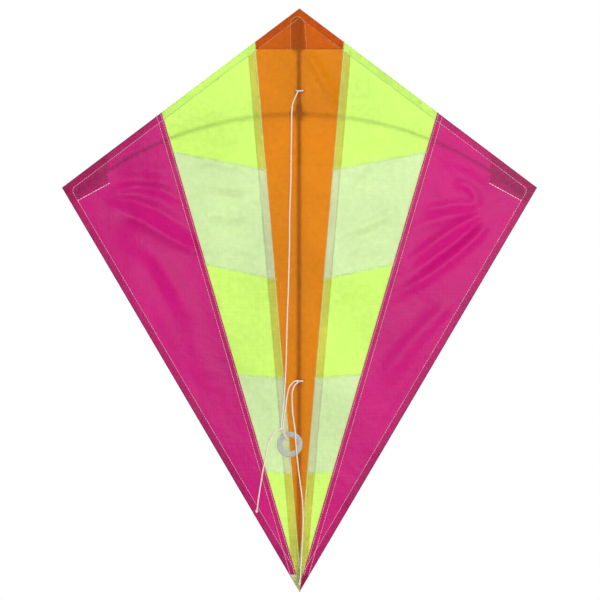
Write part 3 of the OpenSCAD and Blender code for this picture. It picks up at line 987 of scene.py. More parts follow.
@dataclass
class Seamstress:
    """Sews lines of stitches: each line is a curve, and a Geometry Nodes tree lays threads along it."""

    stitch: float = 2.5 * MM
    gap: float = 0.7 * MM
    thread: float = 0.72 * MM
    stand: float = 0.06 * MM
    thinnest: float = 0.86
    thickest: float = 1.12
    seed: int = 11
    lines: dict[tuple[str, Finish], list[list]] = field(default_factory=dict)

    def line(self, body: str, finish: Finish, points: Outline, side: Side = Side.RIGHT, layers: tuple = (0, 1)) -> None:
        """Adds a line of stitching on both faces of the cloth.

        Args:
            body: the CAD body that the line is on.
            finish: the thread.
            points: the line's corners on the right-hand plan.
            side: the wing, for a line that is mirrored.
            layers: 0 for the front face and 1 for the back.
        """
        routes = self.lines.setdefault((body, finish), [])
        for layer in layers:
            y = (PLAN.front_y - self.stand, PLAN.second_y + PLAN.cloth + self.stand)[layer]
            route = []
            for a, b in zip(points, points[1:]):
                count = max(1, round(math.dist(a, b) / (3 * MM)))
                for i in range(count + 1):
                    x, z = between(a, b, i / count)
                    x *= side.value
                    route.append((x, y + PLAN.depth(x, z), z))
            routes.append(route)

    def sew(self) -> None:
        """Makes every line's stitches, one mesh for each body and thread, and hangs those of the frame on it."""
        sizes = {"Pitch": self.stitch + self.gap, "Stitch": self.stitch, "Thread": self.thread, "Seed": self.seed}
        for (body, finish), routes in self.lines.items():
            word = finish.name.lower()
            g = Pattern(f"stitches_{word}", sizes)
            given = g.given
            spaced = g.add(
                "GeometryNodeResampleCurve", {"mode": "LENGTH"}, Curve=given["Lines"], Length=given["Pitch"]
            )
            thread = g.add(
                "GeometryNodeMeshCylinder", {"fill_type": "TRIANGLE_FAN"}, Vertices=6, Side_Segments=3,
                Radius=g.math("MULTIPLY", given["Thread"], 0.5), Depth=given["Stitch"],
            )
            tangent = g.add("GeometryNodeInputTangent").outputs[0]
            aim = g.add("FunctionNodeAlignRotationToVector", {"axis": "Z"}, Vector=tangent)
            size = g.add("FunctionNodeRandomValue", {"data_type": "FLOAT"}, Seed=given["Seed"])
            size.inputs[2].default_value, size.inputs[3].default_value = self.thinnest, self.thickest
            placed = g.add(
                "GeometryNodeInstanceOnPoints", Points=spaced.outputs[0], Instance=thread.outputs["Mesh"],
                Rotation=aim.outputs[0], Scale=size.outputs[1],
            )
            obj = g.grow(f"{body}_{word}_stitches", routes, placed.outputs[0], finish)
            if body == "frame":
                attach(obj, body)
            else:
                hang_on(obj)
            LOG.info("%s: stitches in %s", body, word)


# Sub-assemblies


@dataclass
class Wing:
    """One wing of the sail: five green panels, the magenta panel, hems, seams and the spar pocket."""

    side: Side
    needle: Seamstress
    upper_top: Point = (194 * MM, 172 * MM)
    upper_low: Point = (325 * MM, 307 * MM)
    lower_top: Point = (444 * MM, 439 * MM)
    lower_low: Point = (558 * MM, 556 * MM)
    pocket_mouth: float = 229 * MM
    pocket_below: float = 15 * MM
    pocket_toe: float = 8 * MM
    tip_turn: float = 6 * MM
    band_names: tuple[str, ...] = ("lime_top", "mint_upper", "lime_middle", "mint_lower", "lime_tail")

    def build(self) -> None:
        """Makes and dresses every piece of the wing."""
        panels = self.panels()
        hems = self.hems() + self.edges()
        pocket_piece, pocket = self.pocket()
        self.stitches()
        for piece, obj in panels:
            hang_on(obj)
            piece.declare(obj, hems if piece.name.endswith("wing_panel_cloth") else None)
        for obj in (*hems, pocket):
            hang_on(obj)
        pocket_piece.declare(pocket)
        LOG.info("%s wing: %d panels, %d hems and seams, 1 pocket", self.side.word, len(panels), len(hems))

    def band_edges(self) -> list[tuple[Point, Point]]:
        """The four lines across the green strip, from its inner to its outer side."""
        return [PLAN.strip_edge(*ends) for ends in (self.upper_top, self.upper_low, self.lower_top, self.lower_low)]

    def bands(self, outline: Outline) -> list[Outline]:
        """Cuts an outline along the band edges.

        Args:
            outline: the outline to cut.

        Returns:
            Its five parts, from the top down.
        """
        rest, parts = outline, []
        for inner, outer in self.band_edges():
            parts.append(beyond(rest, inner, outer))
            rest = beyond(rest, outer, inner)
        return [*parts, rest]

    def panels(self) -> list[tuple[ClothPiece, Piece]]:
        """The panels in the front layer."""
        bands = dict(zip(self.band_names, self.bands(PLAN.strip())))
        made = []
        for node, outline in {**bands, "wing_panel": PLAN.magenta()}.items():
            whole = f"{self.side.word}_{node}"
            finish = Finish[node.split("_")[0].upper()] if node in bands else Finish.MAGENTA
            piece = ClothPiece(f"{whole}_cloth", outline, PLAN.front_y, self.side)
            made.append((piece, stands_for(piece.build(), finish, None, whole)))
        return made

    def behind(self, name: str, outline: Outline, finish: Finish, y: float = PLAN.second_y) -> Piece:
        """A piece of cloth behind the panels.

        Args:
            name: the piece's name, without its side.
            outline: its outline.
            finish: its finish.
            y: its layer.

        Returns:
            The dressed piece.
        """
        return finish.put_on(ClothPiece(f"{self.side.word}_{name}_cloth", outline, y, self.side).build())

    def hems(self) -> list[Piece]:
        """The turned hems and the seam allowances, behind the panels."""
        strip, magenta = PLAN.strip(), PLAN.magenta()
        lead, trail = (PLAN.nose, PLAN.tip, -PLAN.hem), (PLAN.tip, PLAN.tail, -PLAN.hem)
        felled = short_of(magenta, PLAN.outer_top, PLAN.outer_low, PLAN.outer_allowance)
        inner = short_of(strip, PLAN.inner_top, PLAN.inner_low, PLAN.inner_allowance)
        lengths = self.bands(short_of(inner, *lead))
        shapes = {
            "lime_hem": (beyond(strip, *lead), Finish.LIME_HEM),
            "leading_hem": (short_of(beyond(magenta, *lead), *trail), Finish.MAGENTA_HEM),
            "trailing_hem": (beyond(magenta, *trail), Finish.MAGENTA_HEM),
            "outer_seam": (short_of(short_of(felled, *lead), *trail), Finish.FELLED_SEAM),
            "inner_seam": (lengths[0], Finish.SEAM),
        }
        made = [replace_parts(self.behind(node, *shape), f"{self.side.word}_{node}") for node, shape in shapes.items()]
        for band, outline in zip(self.band_names[1:], lengths[1:]):
            finish = Finish.SEAM if band.startswith("lime") else Finish.PALE_SEAM
            made.append(self.behind(f"inner_seam_{band}", outline, finish))
        corner = beyond(beyond(magenta, *lead), *trail)
        return [*made, self.behind("corner_fold", corner, Finish.MAGENTA_HEM, PLAN.turned_in_y)]

    def edges(self) -> list[Piece]:
        """The rolled edges of the hems, and the fold and the lip of the outer seam."""
        low_z = PLAN.tab_top + MM
        low = (PLAN.x_at(PLAN.outer_top, PLAN.outer_low, low_z), low_z)
        n = away(PLAN.outer_top, PLAN.outer_low)
        lip = [(p[0] - n[0] * MM, p[1] - n[1] * MM) for p in (PLAN.outer_top, low)]
        # The magenta rolled edges and the seam's fold are darkened with painted shade.
        beads = (
            ("lime_edge", PLAN.inner_top, PLAN.outer_top, Finish.LIME_HEM),
            ("leading_edge", PLAN.outer_top, PLAN.tip, Finish.MAGENTA_EDGE),
            ("trailing_edge", PLAN.tip, (PLAN.tab_half, PLAN.tab_top), Finish.MAGENTA_EDGE),
            ("seam_fold", PLAN.outer_top, low, Finish.MAGENTA_EDGE, 0.28 * MM, 0.02 * MM),
            ("seam_lip", *lip, Finish.SEAM_EDGE, 0.3 * MM, 0.02 * MM),
        )
        return [edge_bead(f"{self.side.word}_{name}", a, b, self.side, *more) for name, a, b, *more in beads]

    def spar_share(self, x: float) -> float:
        """How far the spar has fallen and leant at a place across, as a share of its end."""
        return (x / SPAR.end_x) ** 2

    def lift(self, x: float, z: float) -> float:
        """How far the spar pocket rises over the spar's end.

        Args:
            x: a place across, outwards.
            z: the place up.

        Returns:
            The distance along Y.
        """
        share = self.spar_share(x)
        off = abs(z - SPAR.end_z * share) * 0.9
        rise = SPAR.end_y * share + SPAR.cap_radius + 0.35 * MM - PLAN.third_y
        over = math.cos(min(1.0, off / (8.2 * MM)) * math.pi / 2) ** 2
        return rise * over * smooth_step(SPAR.end_x + 9 * MM, SPAR.end_x + 2 * MM, x)

    def pocket_edge(self) -> Outline:
        """The spar pocket's lower side, from its mouth to its toe."""
        low = (self.pocket_mouth, SPAR.end_z * self.spar_share(self.pocket_mouth) - self.pocket_below)
        return [low, (SPAR.end_x - 3 * MM, SPAR.end_z - self.pocket_toe)]

    def pocket(self) -> tuple[ClothPiece, Piece]:
        """The spar pocket: a patch on the back that lifts over the end of the spar."""
        mouth, node = self.pocket_mouth, f"{self.side.word}_tip_pocket"
        outline = beyond(beyond(PLAN.half(), (mouth, 1.0), (mouth, -1.0)), *self.pocket_edge())
        outline = short_of(short_of(outline, PLAN.nose, PLAN.tip, -MM), PLAN.tip, PLAN.tail, -MM)
        piece = ClothPiece(f"{node}_cloth", outline, PLAN.third_y, self.side, 1.6 * MM, self.lift, 1.2)
        return piece, stands_for(piece.build(), Finish.MAGENTA_HEM, None, node)

    def stitches(self) -> None:
        """The lines of stitching on this wing."""
        sew, side, body = self.needle.line, self.side, self.side.body
        strip, magenta = PLAN.strip(), PLAN.magenta()
        inner, outer = (PLAN.inner_top, PLAN.inner_low), (PLAN.outer_top, PLAN.outer_low)
        in_hem = -PLAN.hem + 0.6 * MM
        lead = self.inside(magenta, PLAN.nose, PLAN.tip, in_hem)
        trail = self.inside(magenta, PLAN.tip, PLAN.tail, in_hem)
        reach = [past(p, *trail[:2]) for p in lead[:2]]
        corner = between(*lead[:2], reach[0] / (reach[0] - reach[1]))
        a, b = (between(corner, p, self.tip_turn / math.dist(corner, p)) for p in (lead[0], trail[1]))
        turn = [between(between(a, corner, i / 6), between(corner, b, i / 6), i / 6) for i in range(7)]
        sew(body, Finish.PINK_THREAD, [lead[0], *turn, trail[1]], side)
        sew(body, Finish.LIME_THREAD, self.inside(strip, PLAN.nose, PLAN.tip, in_hem), side)
        for shift in (MM, PLAN.outer_allowance - 0.8 * MM):
            sew(body, Finish.PINK_THREAD, self.inside(magenta, *outer, shift), side)
        sew(body, Finish.PALE_THREAD, self.inside(strip, *inner, 1.2 * MM), side)
        sew(body, Finish.PALE_THREAD, self.inside(strip, *inner, PLAN.inner_allowance - 0.8 * MM), side, (1,))
        for line in self.band_edges()[:3]:
            for shift in (-MM, MM):
                sew(body, Finish.LIME_THREAD, [(x, z + shift) for x, z in line], side, (0,))
        sew(body, Finish.WHITE_THREAD, self.pocket_edge(), side, (0,))

    @staticmethod
    def inside(outline: Outline, a: Point, b: Point, shift: float) -> Outline:
        """The part of a line that lies in an outline.

        Args:
            outline: the outline.
            a: one point on the line.
            b: another, lower down.
            shift: how far the line is moved to its far side first.

        Returns:
            Its ends, from the top down.
        """
        on = [p for p in short_of(outline, a, b, shift) if abs(past(p, a, b) - shift) < 1e-6]
        return sorted(on, key=lambda p: -p[1])


@dataclass
class CentrePanel:
    """The orange panel, its doubled nose with the spine's pocket, and the folded tail tab."""

    needle: Seamstress
    patch_height: float = 49 * MM
    pocket_half: float = 8.6 * MM
    pocket_mid: float = -2.4 * MM
    pocket_flare: float = 2.2 * MM
    pocket_drop: float = 10 * MM
    fold_x: float = 3.5 * MM
    cap_radius: float = 3.3 * MM
    cap_ease: float = 0.45 * MM
    spine_y: float = -4.1 * MM
    tow_z: Point = (24 * MM, -324 * MM)
    hole_x: float = 3.6 * MM
    hole_radius: float = 1.7 * MM

    def __post_init__(self) -> None:
        """Works out the patch's lower edge, the pocket's arch and the rise over the spine's caps."""
        self.patch_low = PLAN.nose_z - self.patch_height
        self.arch = PLAN.nose_z - self.pocket_drop - self.pocket_half
        self.pocket_right = self.pocket_mid + self.pocket_half + self.pocket_flare
        self.rise = self.spine_y + self.cap_radius + self.cap_ease - PLAN.third_y

    def build(self) -> None:
        """Makes, dresses and hangs the middle of the sail."""
        whole = [PLAN.nose, PLAN.inner_top, PLAN.inner_low, (-PLAN.inner_top[0], PLAN.inner_top[1])]
        panel = ClothPiece("centre_panel_cloth", whole, PLAN.front_y)
        panel.declare(stands_for(self.with_holes(panel.build()), Finish.ORANGE, "frame", "centre_panel"))
        self.hole_rims()
        self.nose(whole)
        self.tail()
        self.stitches()
        LOG.info("centre panel, nose patch and tail tab")

    def holes(self, y: float) -> list[Vector]:
        """The middles of the four tow holes at a depth."""
        return [Vector((x, y, z)) for z in self.tow_z for x in (-self.hole_x, self.hole_x)]

    def with_holes(self, obj: Piece) -> Piece:
        """Cuts the four tow holes.

        Args:
            obj: the centre panel.

        Returns:
            The panel with its holes.
        """
        bm = bmesh.new()
        size = {"segments": 20, "radius1": self.hole_radius, "radius2": self.hole_radius, "depth": 4 * MM}
        for hole in self.holes(PLAN.front_y):
            place = Matrix.Translation(hole) @ Matrix.Rotation(math.pi / 2, 4, "X")
            bmesh.ops.create_cone(bm, cap_ends=True, matrix=place, **size)
        cutter = object_from("tow_hole_cutter", bm)
        cut = obj.modifiers.new("Holes", "BOOLEAN")
        cut.operation, cut.solver, cut.object = "DIFFERENCE", "EXACT", cutter
        mesh = evaluated(obj)
        obj.modifiers.clear()
        obj.data = mesh
        bpy.data.objects.remove(cutter)
        return obj

    def hole_rims(self) -> None:
        """The hard brown rim round each tow hole, which was melted through the cloth."""
        bead = 0.3 * MM
        turn = [math.radians(a) for a in range(0, 360, 45)]
        section = [(self.hole_radius - 0.1 * MM + bead * math.cos(a), bead * math.sin(a)) for a in turn]
        places = [along_axis(hole, Vector((0, -1, 0))) for hole in self.holes(PLAN.front_y + PLAN.cloth / 2)]
        rims = [turned("hole_rim", section, place, steps=24, ring=True) for place in places]
        stands_for(merged("tow_hole_rims", rims, 40), Finish.MELT, "frame")

    def pocket_curve(self, step: int) -> Outline:
        """The arch over the nose pocket, from right to left."""
        turn = [(math.cos(a), math.sin(a)) for a in map(math.radians, range(0, 181, step))]
        return [(self.pocket_mid + self.pocket_half * c, self.arch + self.pocket_half * s) for c, s in turn]

    def nose_lift(self, x: float, z: float) -> float:
        """How far the nose pocket rises over the spine.

        Args:
            x: a place across.
            z: the place up.

        Returns:
            The distance along Y.
        """
        half, mid = self.pocket_half, self.pocket_mid
        radius = math.hypot(x - mid, max(0.0, z - self.arch))
        lift = math.cos(min(1.0, (abs(x) / (half + (mid if x > 0 else -mid))) ** 1.25) * math.pi / 2) ** 2
        return self.rise * lift * smooth_step(half, half - 3.2 * MM, radius)

    def nose(self, whole: Outline) -> None:
        """The doubling patch behind the nose with its hems, and the arched pocket for the end of the spine.

        Args:
            whole: the centre panel's outline.
        """
        low = self.patch_low
        line = ((0.0, low), (1.0, low))
        patch = ClothPiece("nose_patch_cloth", beyond(whole, *line), PLAN.second_y)
        doubled = stands_for(patch.build(), Finish.NOSE, "frame", "nose_patch")
        outline = [*self.pocket_curve(12), (self.pocket_mid - self.pocket_half, low), (self.pocket_right, low)]
        pocket = ClothPiece(
            "nose_pocket_cloth", outline, PLAN.third_y, spacing=1.2 * MM, bulge=self.nose_lift, ease=1.45
        )
        pocket.declare(stands_for(pocket.build(), Finish.NOSE, "frame"))
        half = beyond([PLAN.nose, PLAN.inner_top, PLAN.inner_low, (0.0, low)], *line)
        turned_in = beyond(half, PLAN.nose, PLAN.tip, -PLAN.hem)
        hems = []
        for side in Side:
            hem = ClothPiece(f"{side.word}_nose_hem_cloth", turned_in, PLAN.turned_in_y, side)
            hems.append(stands_for(hem.build(), Finish.NOSE_HEM, "frame"))
            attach(edge_bead(f"{side.word}_nose_edge", PLAN.nose, PLAN.inner_top, side, Finish.NOSE_HEM), "frame")
        patch.declare(doubled, hems)

    def tail_lift(self, x: float, z: float) -> float:
        """How far the tail's socket rises over the spine.

        Args:
            x: a place across.
            z: the place up.

        Returns:
            The distance along Y.
        """
        half = max(0.1 * MM, PLAN.x_at(PLAN.tip, PLAN.tail, z))
        lift = math.cos(min(1.0, (abs(x) / (half * 0.96)) ** 1.5) * math.pi / 2) ** 2
        return self.rise * lift * smooth_step(PLAN.tail_z + 4 * MM, PLAN.tail_z + 12.5 * MM, z)

    def tail(self) -> None:
        """The folded tab at the tail: a green half, a magenta half over it, and the spine's socket behind."""
        left, right = (-PLAN.tab_half, PLAN.tab_top), (PLAN.tab_half, PLAN.tab_top)
        outline = [left, right, PLAN.tail]
        over = [(self.fold_x, PLAN.tab_top), right, PLAN.tail]
        front = ClothPiece("tail_tab_cloth", outline, PLAN.front_y, spacing=1.5 * MM)
        socket = ClothPiece("tail_socket_cloth", outline, PLAN.third_y, spacing=MM, bulge=self.tail_lift, ease=1.45)
        fold = ClothPiece("tail_fold_cloth", over, PLAN.front_y - 0.25 * MM, spacing=2 * MM)
        front.declare(stands_for(front.build(), Finish.TAIL, "frame", "tail_tab"))
        socket.declare(stands_for(socket.build(), Finish.TAIL, "frame"))
        stands_for(fold.build(), Finish.MAGENTA, "frame")
        for side, finish in ((Side.LEFT, Finish.TAIL), (Side.RIGHT, Finish.MAGENTA_HEM)):
            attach(edge_bead(f"{side.word}_tail_edge", right, PLAN.tail, side, finish), "frame")

    def stitches(self) -> None:
        """The lines of stitching on the middle of the sail."""
        sew, low, hem = self.needle.line, self.patch_low, PLAN.hem
        n = away(PLAN.nose, PLAN.tip)
        start = (0.0, PLAN.nose_z - hem / n[1])
        end = (PLAN.inner_top[0] - n[0] * hem, PLAN.inner_top[1] - n[1] * hem)
        for side in Side:
            sew("frame", Finish.ORANGE_THREAD, [start, end], side)
        wide = PLAN.x_at(PLAN.inner_top, PLAN.inner_low, low)
        sew("frame", Finish.ORANGE_THREAD, [(-wide, low + MM), (wide, low + MM)], layers=(1,))
        arch = [(self.pocket_right, low), *self.pocket_curve(10), (self.pocket_mid - self.pocket_half, low)]
        sew("frame", Finish.ORANGE_THREAD, arch, layers=(0,))


def rod_along(name: str, points: list[Vector], radius: float, finish: Finish) -> Piece:
    """A round rod along a path, made by a Geometry Nodes tree.

    Args:
        name: the object's name.
        points: the rod's axis.
        radius: half its diameter.
        finish: its finish.

    Returns:
        The rod as a plain mesh.
    """
    g = Pattern("drawn_rod", {"Radius": radius, "Sides": 24})
    given = g.given
    ring = g.add("GeometryNodeCurvePrimitiveCircle", Radius=given["Radius"], Resolution=given["Sides"])
    tube = g.add("GeometryNodeCurveToMesh", Curve=given["Lines"], Profile_Curve=ring.outputs[0], Fill_Caps=True)
    rod = g.grow(name, [points], tube.outputs[0], finish)
    rod.data.set_sharp_from_angle(angle=math.radians(50))
    return rod


def end_cap(name: str, end: Vector, direction: Vector, bore: float, outside: float, grip: float) -> Piece:
    """A soft dipped cap on the end of a rod, with a rolled mouth and a domed end.

    Args:
        name: the object's name.
        end: the middle of the rod's end.
        direction: the way that the rod's end points.
        bore: the rod's radius.
        outside: the cap's radius.
        grip: how far the cap comes down the rod.

    Returns:
        The cap.
    """
    dome = min(outside - bore, 0.8 * MM)
    outer = [(0.0, dome)]
    for t in map(math.radians, range(15, 91, 15)):
        outer.append((outside - dome * 0.9 + dome * 0.9 * math.sin(t), dome * math.cos(t)))
    outer += [(outside * 0.985, -grip * 0.4), (outside * 0.97, -grip + 1.4 * MM)]
    outer += [(outside, -grip + 0.9 * MM), (outside, -grip + 0.3 * MM), (outside - 0.25 * MM, -grip)]
    hole = [(0.0, 0.02 * MM), (bore + 0.03 * MM, 0.02 * MM), (bore + 0.03 * MM, -grip)]
    return Finish.VINYL.put_on(turned(name, hole + outer[::-1], along_axis(end, direction)))


@dataclass
class Spar:
    """The sprung cross spar: one arc, drawn as two halves that meet in the cross fitting."""

    end_x: float = 268 * MM
    end_z: float = -99 * MM
    end_y: float = -5.2 * MM
    radius: float = 1.5 * MM
    cap_radius: float = 2.5 * MM
    cap_grip: float = 9 * MM
    steps: int = 90

    def __post_init__(self) -> None:
        """Works out the arc."""
        sag = math.hypot(self.end_z, self.end_y)
        self.arc_radius = (self.end_x**2 + sag**2) / (2 * sag)
        self.lean = math.atan2(self.end_y, -self.end_z)
        self.end_angle = math.asin(self.end_x / self.arc_radius)

    def at(self, angle: float, side: Side) -> Vector:
        """A point on the spar's axis, at an angle from the crossing."""
        p = Vector((math.sin(angle) * side.value, 0, math.cos(angle) - 1)) * self.arc_radius
        return Matrix.Rotation(self.lean, 3, "X") @ p

    def build(self) -> None:
        """Makes both halves and their caps."""
        for side in Side:
            points = [self.at(self.end_angle * i / self.steps, side) for i in range(self.steps + 1)]
            way = (points[-1] - points[-2]).normalized()
            rod = rod_along(f"{side.word}_spar_rod", points, self.radius, Finish.SPAR)
            hang_on(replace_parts(rod, f"{side.word}_spar", "spar_centre"))
            name = f"{side.word}_tip_cap"
            cap = end_cap(f"{name}_vinyl", points[-1], way, self.radius, self.cap_radius, self.cap_grip)
            hang_on(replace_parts(cap, name))
        LOG.info("cross spar in two halves, with its tip caps")


SPAR = Spar()


@dataclass
class Spine:
    """The straight spine with its caps, and the fitting that holds the cross spar to it."""

    y: float = -4.1 * MM
    radius: float = 2.5 * MM
    cap_radius: float = 3.3 * MM
    cap_grip: float = 9 * MM
    fitting_half_height: float = 9 * MM
    fitting_half_width: float = 10 * MM
    fitting_wall: float = 1.7 * MM
    fitting_lip: float = 0.5 * MM

    def build(self) -> None:
        """Makes the spine, its caps and the cross fitting."""
        low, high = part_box("spine")
        points = [Vector((0, self.y, low.z + (high.z - low.z) * i / 40)) for i in range(41)]
        rod = rod_along("spine_rod_drawn", points, self.radius, Finish.SPINE)
        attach(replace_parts(rod, "spine"), "frame")
        for name, end, way in (("nose", points[-1], 1), ("tail", points[0], -1)):
            cap = end_cap(f"{name}_cap_vinyl", end, Vector((0, 0, way)), self.radius, self.cap_radius, self.cap_grip)
            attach(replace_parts(cap, f"{name}_cap"), "frame")
        upright = self.sleeve(self.radius, self.fitting_half_height, Vector((0, self.y, 0)), Z_AXIS)
        level = self.sleeve(SPAR.radius, self.fitting_half_width, Vector((0, 0, 0)), X_AXIS)
        stands_for(merged("cross_fitting_moulded", [upright, level], 45), Finish.VINYL, "frame", "cross_fitting")
        LOG.info("spine, two caps and the cross fitting")

    def sleeve(self, bore: float, half: float, origin: Vector, direction: Vector) -> Piece:
        """One sleeve of the moulded fitting, open at both ends, with rolled lips.

        Args:
            bore: the rod's radius.
            half: half the sleeve's length.
            origin: its middle.
            direction: its axis.

        Returns:
            The sleeve.
        """
        out, lip = bore + self.fitting_wall, self.fitting_lip
        end = [(out - 0.4 * MM, half * 0.45), (out - 0.35 * MM, half - 2.3 * MM), (out, half - 1.7 * MM)]
        end += [(out, half - lip * 0.4), (out - lip, half), (bore + 0.03 * MM, half)]
        profile = [*((r, -h) for r, h in reversed(end)), (out - 0.2 * MM, 0.0), *end]
        return turned("fitting_sleeve", profile, along_axis(origin, direction), steps=40, ring=True)


@dataclass
class Bridle:
    """The cords in front of the sail, their knots, the ring's hitch and the tow ring; routes in millimetres."""

    diameter: float = 1.8 * MM
    knot_x: float = -21.4 * MM
    knot_z: float = -381 * MM
    ring_y: float = -13.0 * MM
    lean: float = 28.0
    hang: float = 21.0 * MM
    ring_outside: float = 15.3 * MM
    ring_bore: float = 8.7 * MM
    ring_thickness: float = 2.2 * MM
    ring_soft: float = 0.55 * MM
    upper_leg: tuple = (
        (-1.5, -10.8, 24), (-4.4, -10.8, 18), (-8, -10.9, 9), (-9.2, -11, 0), (-9.6, -11, -17), (-10.2, -11, -58),
        (-10.5, -11, -88), (-11.8, -11, -122), (-12.2, -11, -166), (-13.4, -11, -212), (-15, -11.2, -255),
        (-16, -11.6, -299), (-17.4, -12, -327), (-19.4, -12.5, -354), (-21.4, -12.9, -371), (-22.1, -13, -379.3),
    )
    lower_leg: tuple = (
        (-1.5, -10.8, -323.2), (-6, -10.9, -324.4), (-10, -11, -328), (-13, -11.2, -333), (-14.8, -11.6, -342),
        (-16.4, -12.2, -354), (-18.4, -12.8, -368), (-20.1, -13, -379.3),
    )
    tail_line: tuple = (
        (-1.5, -10.8, -325), (-6, -11, -329.5), (-8.8, -11.8, -338), (-8.9, -13, -347), (-8, -15, -364),
        (-5.6, -16.3, -380), (-4.4, -16.6, -397), (-3.2, -16.4, -411), (-1.6, -15.4, -427), (0.8, -14, -446),
        (3.6, -12.6, -469), (4.2, -11.8, -494), (2.6, -11.2, -530), (1, -11, -558), (0, -10.8, -567),
    )
    pigtail: tuple = (
        (-22.8, -13.8, -381.3), (-25.6, -15.6, -382.6), (-30.2, -16.4, -386), (-34.4, -16.4, -392),
        (-37.7, -16, -400.5), (-39.8, -15.4, -410.5), (-41.4, -14.6, -420), (-43.8, -13.6, -431),
        (-45.3, -12.8, -441), (-46.9, -12.2, -450), (-48.2, -11.8, -458.5), (-49.3, -11.6, -466),
        (-50.2, -11.4, -473), (-51.4, -11.4, -480),
    )

    def __post_init__(self) -> None:
        """Works out the knot's place and the ring's two directions."""
        lean = math.radians(self.lean)
        self.knot = Vector((self.knot_x, self.ring_y, self.knot_z))
        self.down = Vector((math.sin(lean), 0, -math.cos(lean)))
        self.along = Vector((math.cos(lean), 0, math.sin(lean)))

    def build(self) -> None:
        """Makes the knots and the cords, then the ties and the ring."""
        self.knotted("bridle_knot", self.knot, 2.3 * MM)
        tail_knot = self.knotted("tail_knot", Vector(self.tail_line[-1]) * MM, 1.9 * MM)
        pigtail_knot = self.knotted("pigtail_knot", Vector(self.pigtail[-1]) * MM, 1.9 * MM)
        self.cord("bridle_upper_leg", self.upper_leg, 0.406, [])
        self.cord("bridle_lower_leg", self.lower_leg, 0.063, [])
        self.cord("tail_line", self.tail_line, 0.248, [tail_knot])
        self.cord("pigtail", self.pigtail, 0.107, [pigtail_knot])
        self.ties()
        self.ring()
        self.hitch()
        LOG.info("bridle: four cords, three knots, two ties, a hitch and the tow ring")

    def cord(self, node: str, route: tuple, length: float, knots: list[Piece]) -> None:
        """Makes one cord and logs how far it runs.

        Args:
            node: the CAD node that it replaces.
            route: its points, in millimetres.
            length: its real length; not used.
            knots: the knot on its far end, where it has one; not used.
        """
        points = smooth_route([Vector(p) * MM for p in route], 0.9 * MM)
        obj = stands_for(LaidCord(f"{node}_cord", points, self.diameter).build(), Finish.CORD, "frame", node)
        LOG.info("%s runs %.1f mm", node, sum((b - a).length for a, b in zip(points, points[1:])) / MM)

    def knotted(self, node: str, centre: Vector, reach: float) -> Piece:
        """An overhand knot pulled tight.

        Args:
            node: the CAD node that it replaces.
            centre: its middle.
            reach: half its size.

        Returns:
            The knot.
        """
        thick = reach * 0.78
        scale = (reach - thick / 2) / 3
        route = []
        for t in (2 * math.pi * i / 72 for i in range(72)):
            x, z = math.sin(t) + 2 * math.sin(2 * t), math.cos(t) - 2 * math.cos(2 * t)
            route.append(centre + Vector((x * scale, -math.sin(3 * t) * scale * 1.5, z * scale)))
        knot = LaidCord(f"{node}_tied", route, thick, closed=True, lay=2.6 * MM).build()
        return stands_for(knot, Finish.CORD, "frame", node)

    def ties(self) -> None:
        """The loops that tie the bridle round the spine."""
        for node in ("upper_tow_tie", "lower_tow_tie"):
            low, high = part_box(node)
            mid, half = (low + high) / 2, (high - low) / 2
            route = self.loop(mid, X_AXIS, Y_AXIS, half.x - self.diameter / 2, half.y - self.diameter / 2)
            tie = LaidCord(f"{node}_loop", route, self.diameter, closed=True).build()
            stands_for(tie, Finish.CORD, "frame", node)

    def loop(self, mid: Vector, across: Vector, long: Vector, half_across: float, half_long: float) -> list[Vector]:
        """A flat-sided closed loop.

        Args:
            mid: its middle.
            across: its short direction.
            long: its long direction.
            half_across: half its short way.
            half_long: half its long way.

        Returns:
            Close points round it.
        """
        straight = half_long - half_across
        route = []
        for t in (2 * math.pi * i / 64 for i in range(64)):
            c, s = math.cos(t), math.sin(t)
            route.append(mid + across * half_across * c + long * (half_across * s + (straight if s > 0 else -straight)))
        filled = []
        for a, b in zip(route, route[1:] + route[:1]):
            count = max(1, round((b - a).length / (0.6 * MM)))
            filled += [a.lerp(b, i / count) for i in range(count)]
        return filled

    def ring(self) -> None:
        """The tow ring, with a soft-edged section."""
        half, soft = self.ring_thickness / 2, self.ring_soft
        out, bore = self.ring_outside - soft, self.ring_bore + soft
        corners = ((out, half - soft, 0), (bore, half - soft, 90), (bore, soft - half, 180), (out, soft - half, 270))
        section = [
            (r + soft * math.cos(math.radians(a)), h + soft * math.sin(math.radians(a)))
            for r, h, first in corners
            for a in range(first, first + 91, 18)
        ]
        place = along_axis(self.knot + self.down * self.hang, Vector((0, -1, 0)))
        ring = turned("tow_ring_moulded", section, place, steps=96, ring=True)
        stands_for(ring, Finish.RING, "ring", "tow_ring")

    def hitch(self) -> None:
        """The hitch that holds the ring to the knot: two turns round the ring under a bight."""
        rim = self.hang - (self.ring_outside + self.ring_bore) / 2
        reach = self.ring_thickness / 2 + 0.98 * MM
        long = (self.ring_outside - self.ring_bore) / 2 + reach
        parts = []
        for shift in (-0.7, 0.7):
            route = self.loop(self.knot + self.down * rim + self.along * shift * MM, Y_AXIS, self.down, reach, long)
            parts.append(LaidCord("hitch_turn", route, 1.35 * MM, closed=True, lay=4 * MM).build())
        route = self.loop(self.knot + self.down * (rim - long + 0.2 * MM), Y_AXIS, self.along, 1.5 * MM, 1.7 * MM)
        parts.append(LaidCord("hitch_bight", route, 1.2 * MM, closed=True, lay=3.4 * MM).build())
        stands_for(merged("ring_hitch_cord", parts, 60), Finish.CORD, "ring_loop", "ring_hitch")


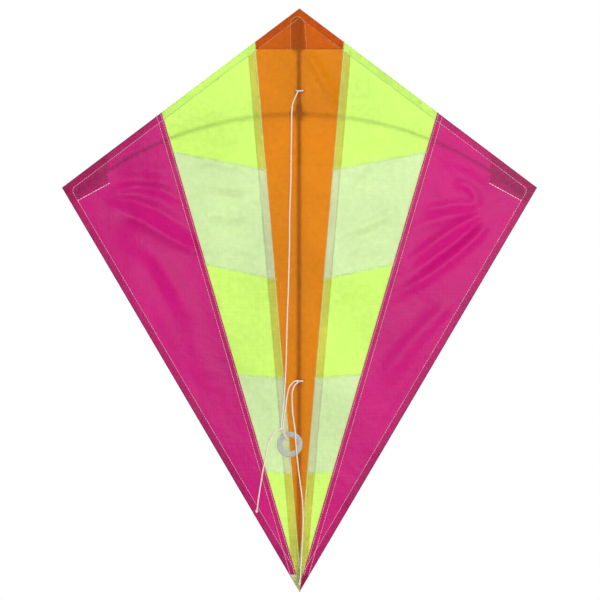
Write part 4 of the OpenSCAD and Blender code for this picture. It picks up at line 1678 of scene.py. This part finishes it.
@dataclass
class Studio:
    """The camera, the soft lights and the pale floor."""

    distance: float = 2.4
    lens: float = 119.6
    height: float = -0.2268
    across: float = 0.0006
    surround: float = 0.47
    floor_z: float = -0.86
    floor_radius: float = 1.25

    def build(self) -> None:
        """Sets the stage round the kite."""
        scene = bpy.context.scene
        scene.view_settings.view_transform = "Standard"
        data = bpy.data.cameras.new("camera")
        data.lens, data.sensor_width, data.clip_start = self.lens, 36.0, 0.02
        camera = in_scene("camera", data)
        camera.location = (self.across, -self.distance, self.height)
        camera.rotation_euler = (math.pi / 2, 0, 0)
        scene.camera = camera
        self.light("key", (1.2, -1.5, 0.9), 0.6, 15.0)
        self.light("sheen", (0.45, -2.9, 0.10), 0.55, 46.0)
        self.light("glow", (0.3, 1.9, 0.9), 1.2, 34.0)
        self.world()
        self.floor()

    def light(self, name: str, place: tuple[float, float, float], size: float, power: float) -> None:
        """Adds one soft square light that faces the kite.

        Args:
            name: the light's name.
            place: where it stands.
            size: its side.
            power: its power in watts.
        """
        data = bpy.data.lights.new(name, "AREA")
        data.size, data.energy = size, power
        obj = in_scene(name, data)
        obj.location = place
        obj.rotation_euler = (Vector((0, 0, -0.2)) - Vector(place)).to_track_quat("-Z", "Y").to_euler()

    def world(self) -> None:
        """A white surround that is brighter to look at than it lights."""
        world = bpy.data.worlds.new("surround")
        world.use_nodes = True
        g = Graph(world.node_tree)
        lit, seen = (g.add("Background", Color=(1.0,) * 4, Strength=power) for power in (self.surround, 1.0))
        g.add("OutputWorld", Surface=g.share(g.add("LightPath").outputs["Is Camera Ray"], lit, seen))
        bpy.context.scene.world = world

    def floor(self) -> None:
        """A plain pale disc under the kite."""
        bm = bmesh.new()
        bmesh.ops.create_circle(bm, cap_ends=True, segments=96, radius=self.floor_radius)
        bmesh.ops.translate(bm, verts=bm.verts, vec=(0, 0, self.floor_z))
        obj = object_from("floor", bm)
        g = Paint("pale_floor")
        colour = g.blend(g.noise(g.place(), 9.0, 4.0), (0.88, 0.88, 0.87, 1.0), (0.92, 0.92, 0.915, 1.0))
        obj.data.materials.append(g.close(g.add("BsdfPrincipled", Base_Color=colour, Roughness=0.7).outputs[0]))


def main() -> None:
    """Builds the kite, piece by piece, in front of its studio."""
    logging.basicConfig(level=logging.INFO, format="%(name)s: %(message)s")
    Studio().build()
    Bridle().build()
    Spine().build()
    SPAR.build()
    needle = Seamstress()
    CentrePanel(needle).build()
    for side in Side:
        Wing(side, needle).build()
    needle.sew()


if __name__ == "__main__":
    main()
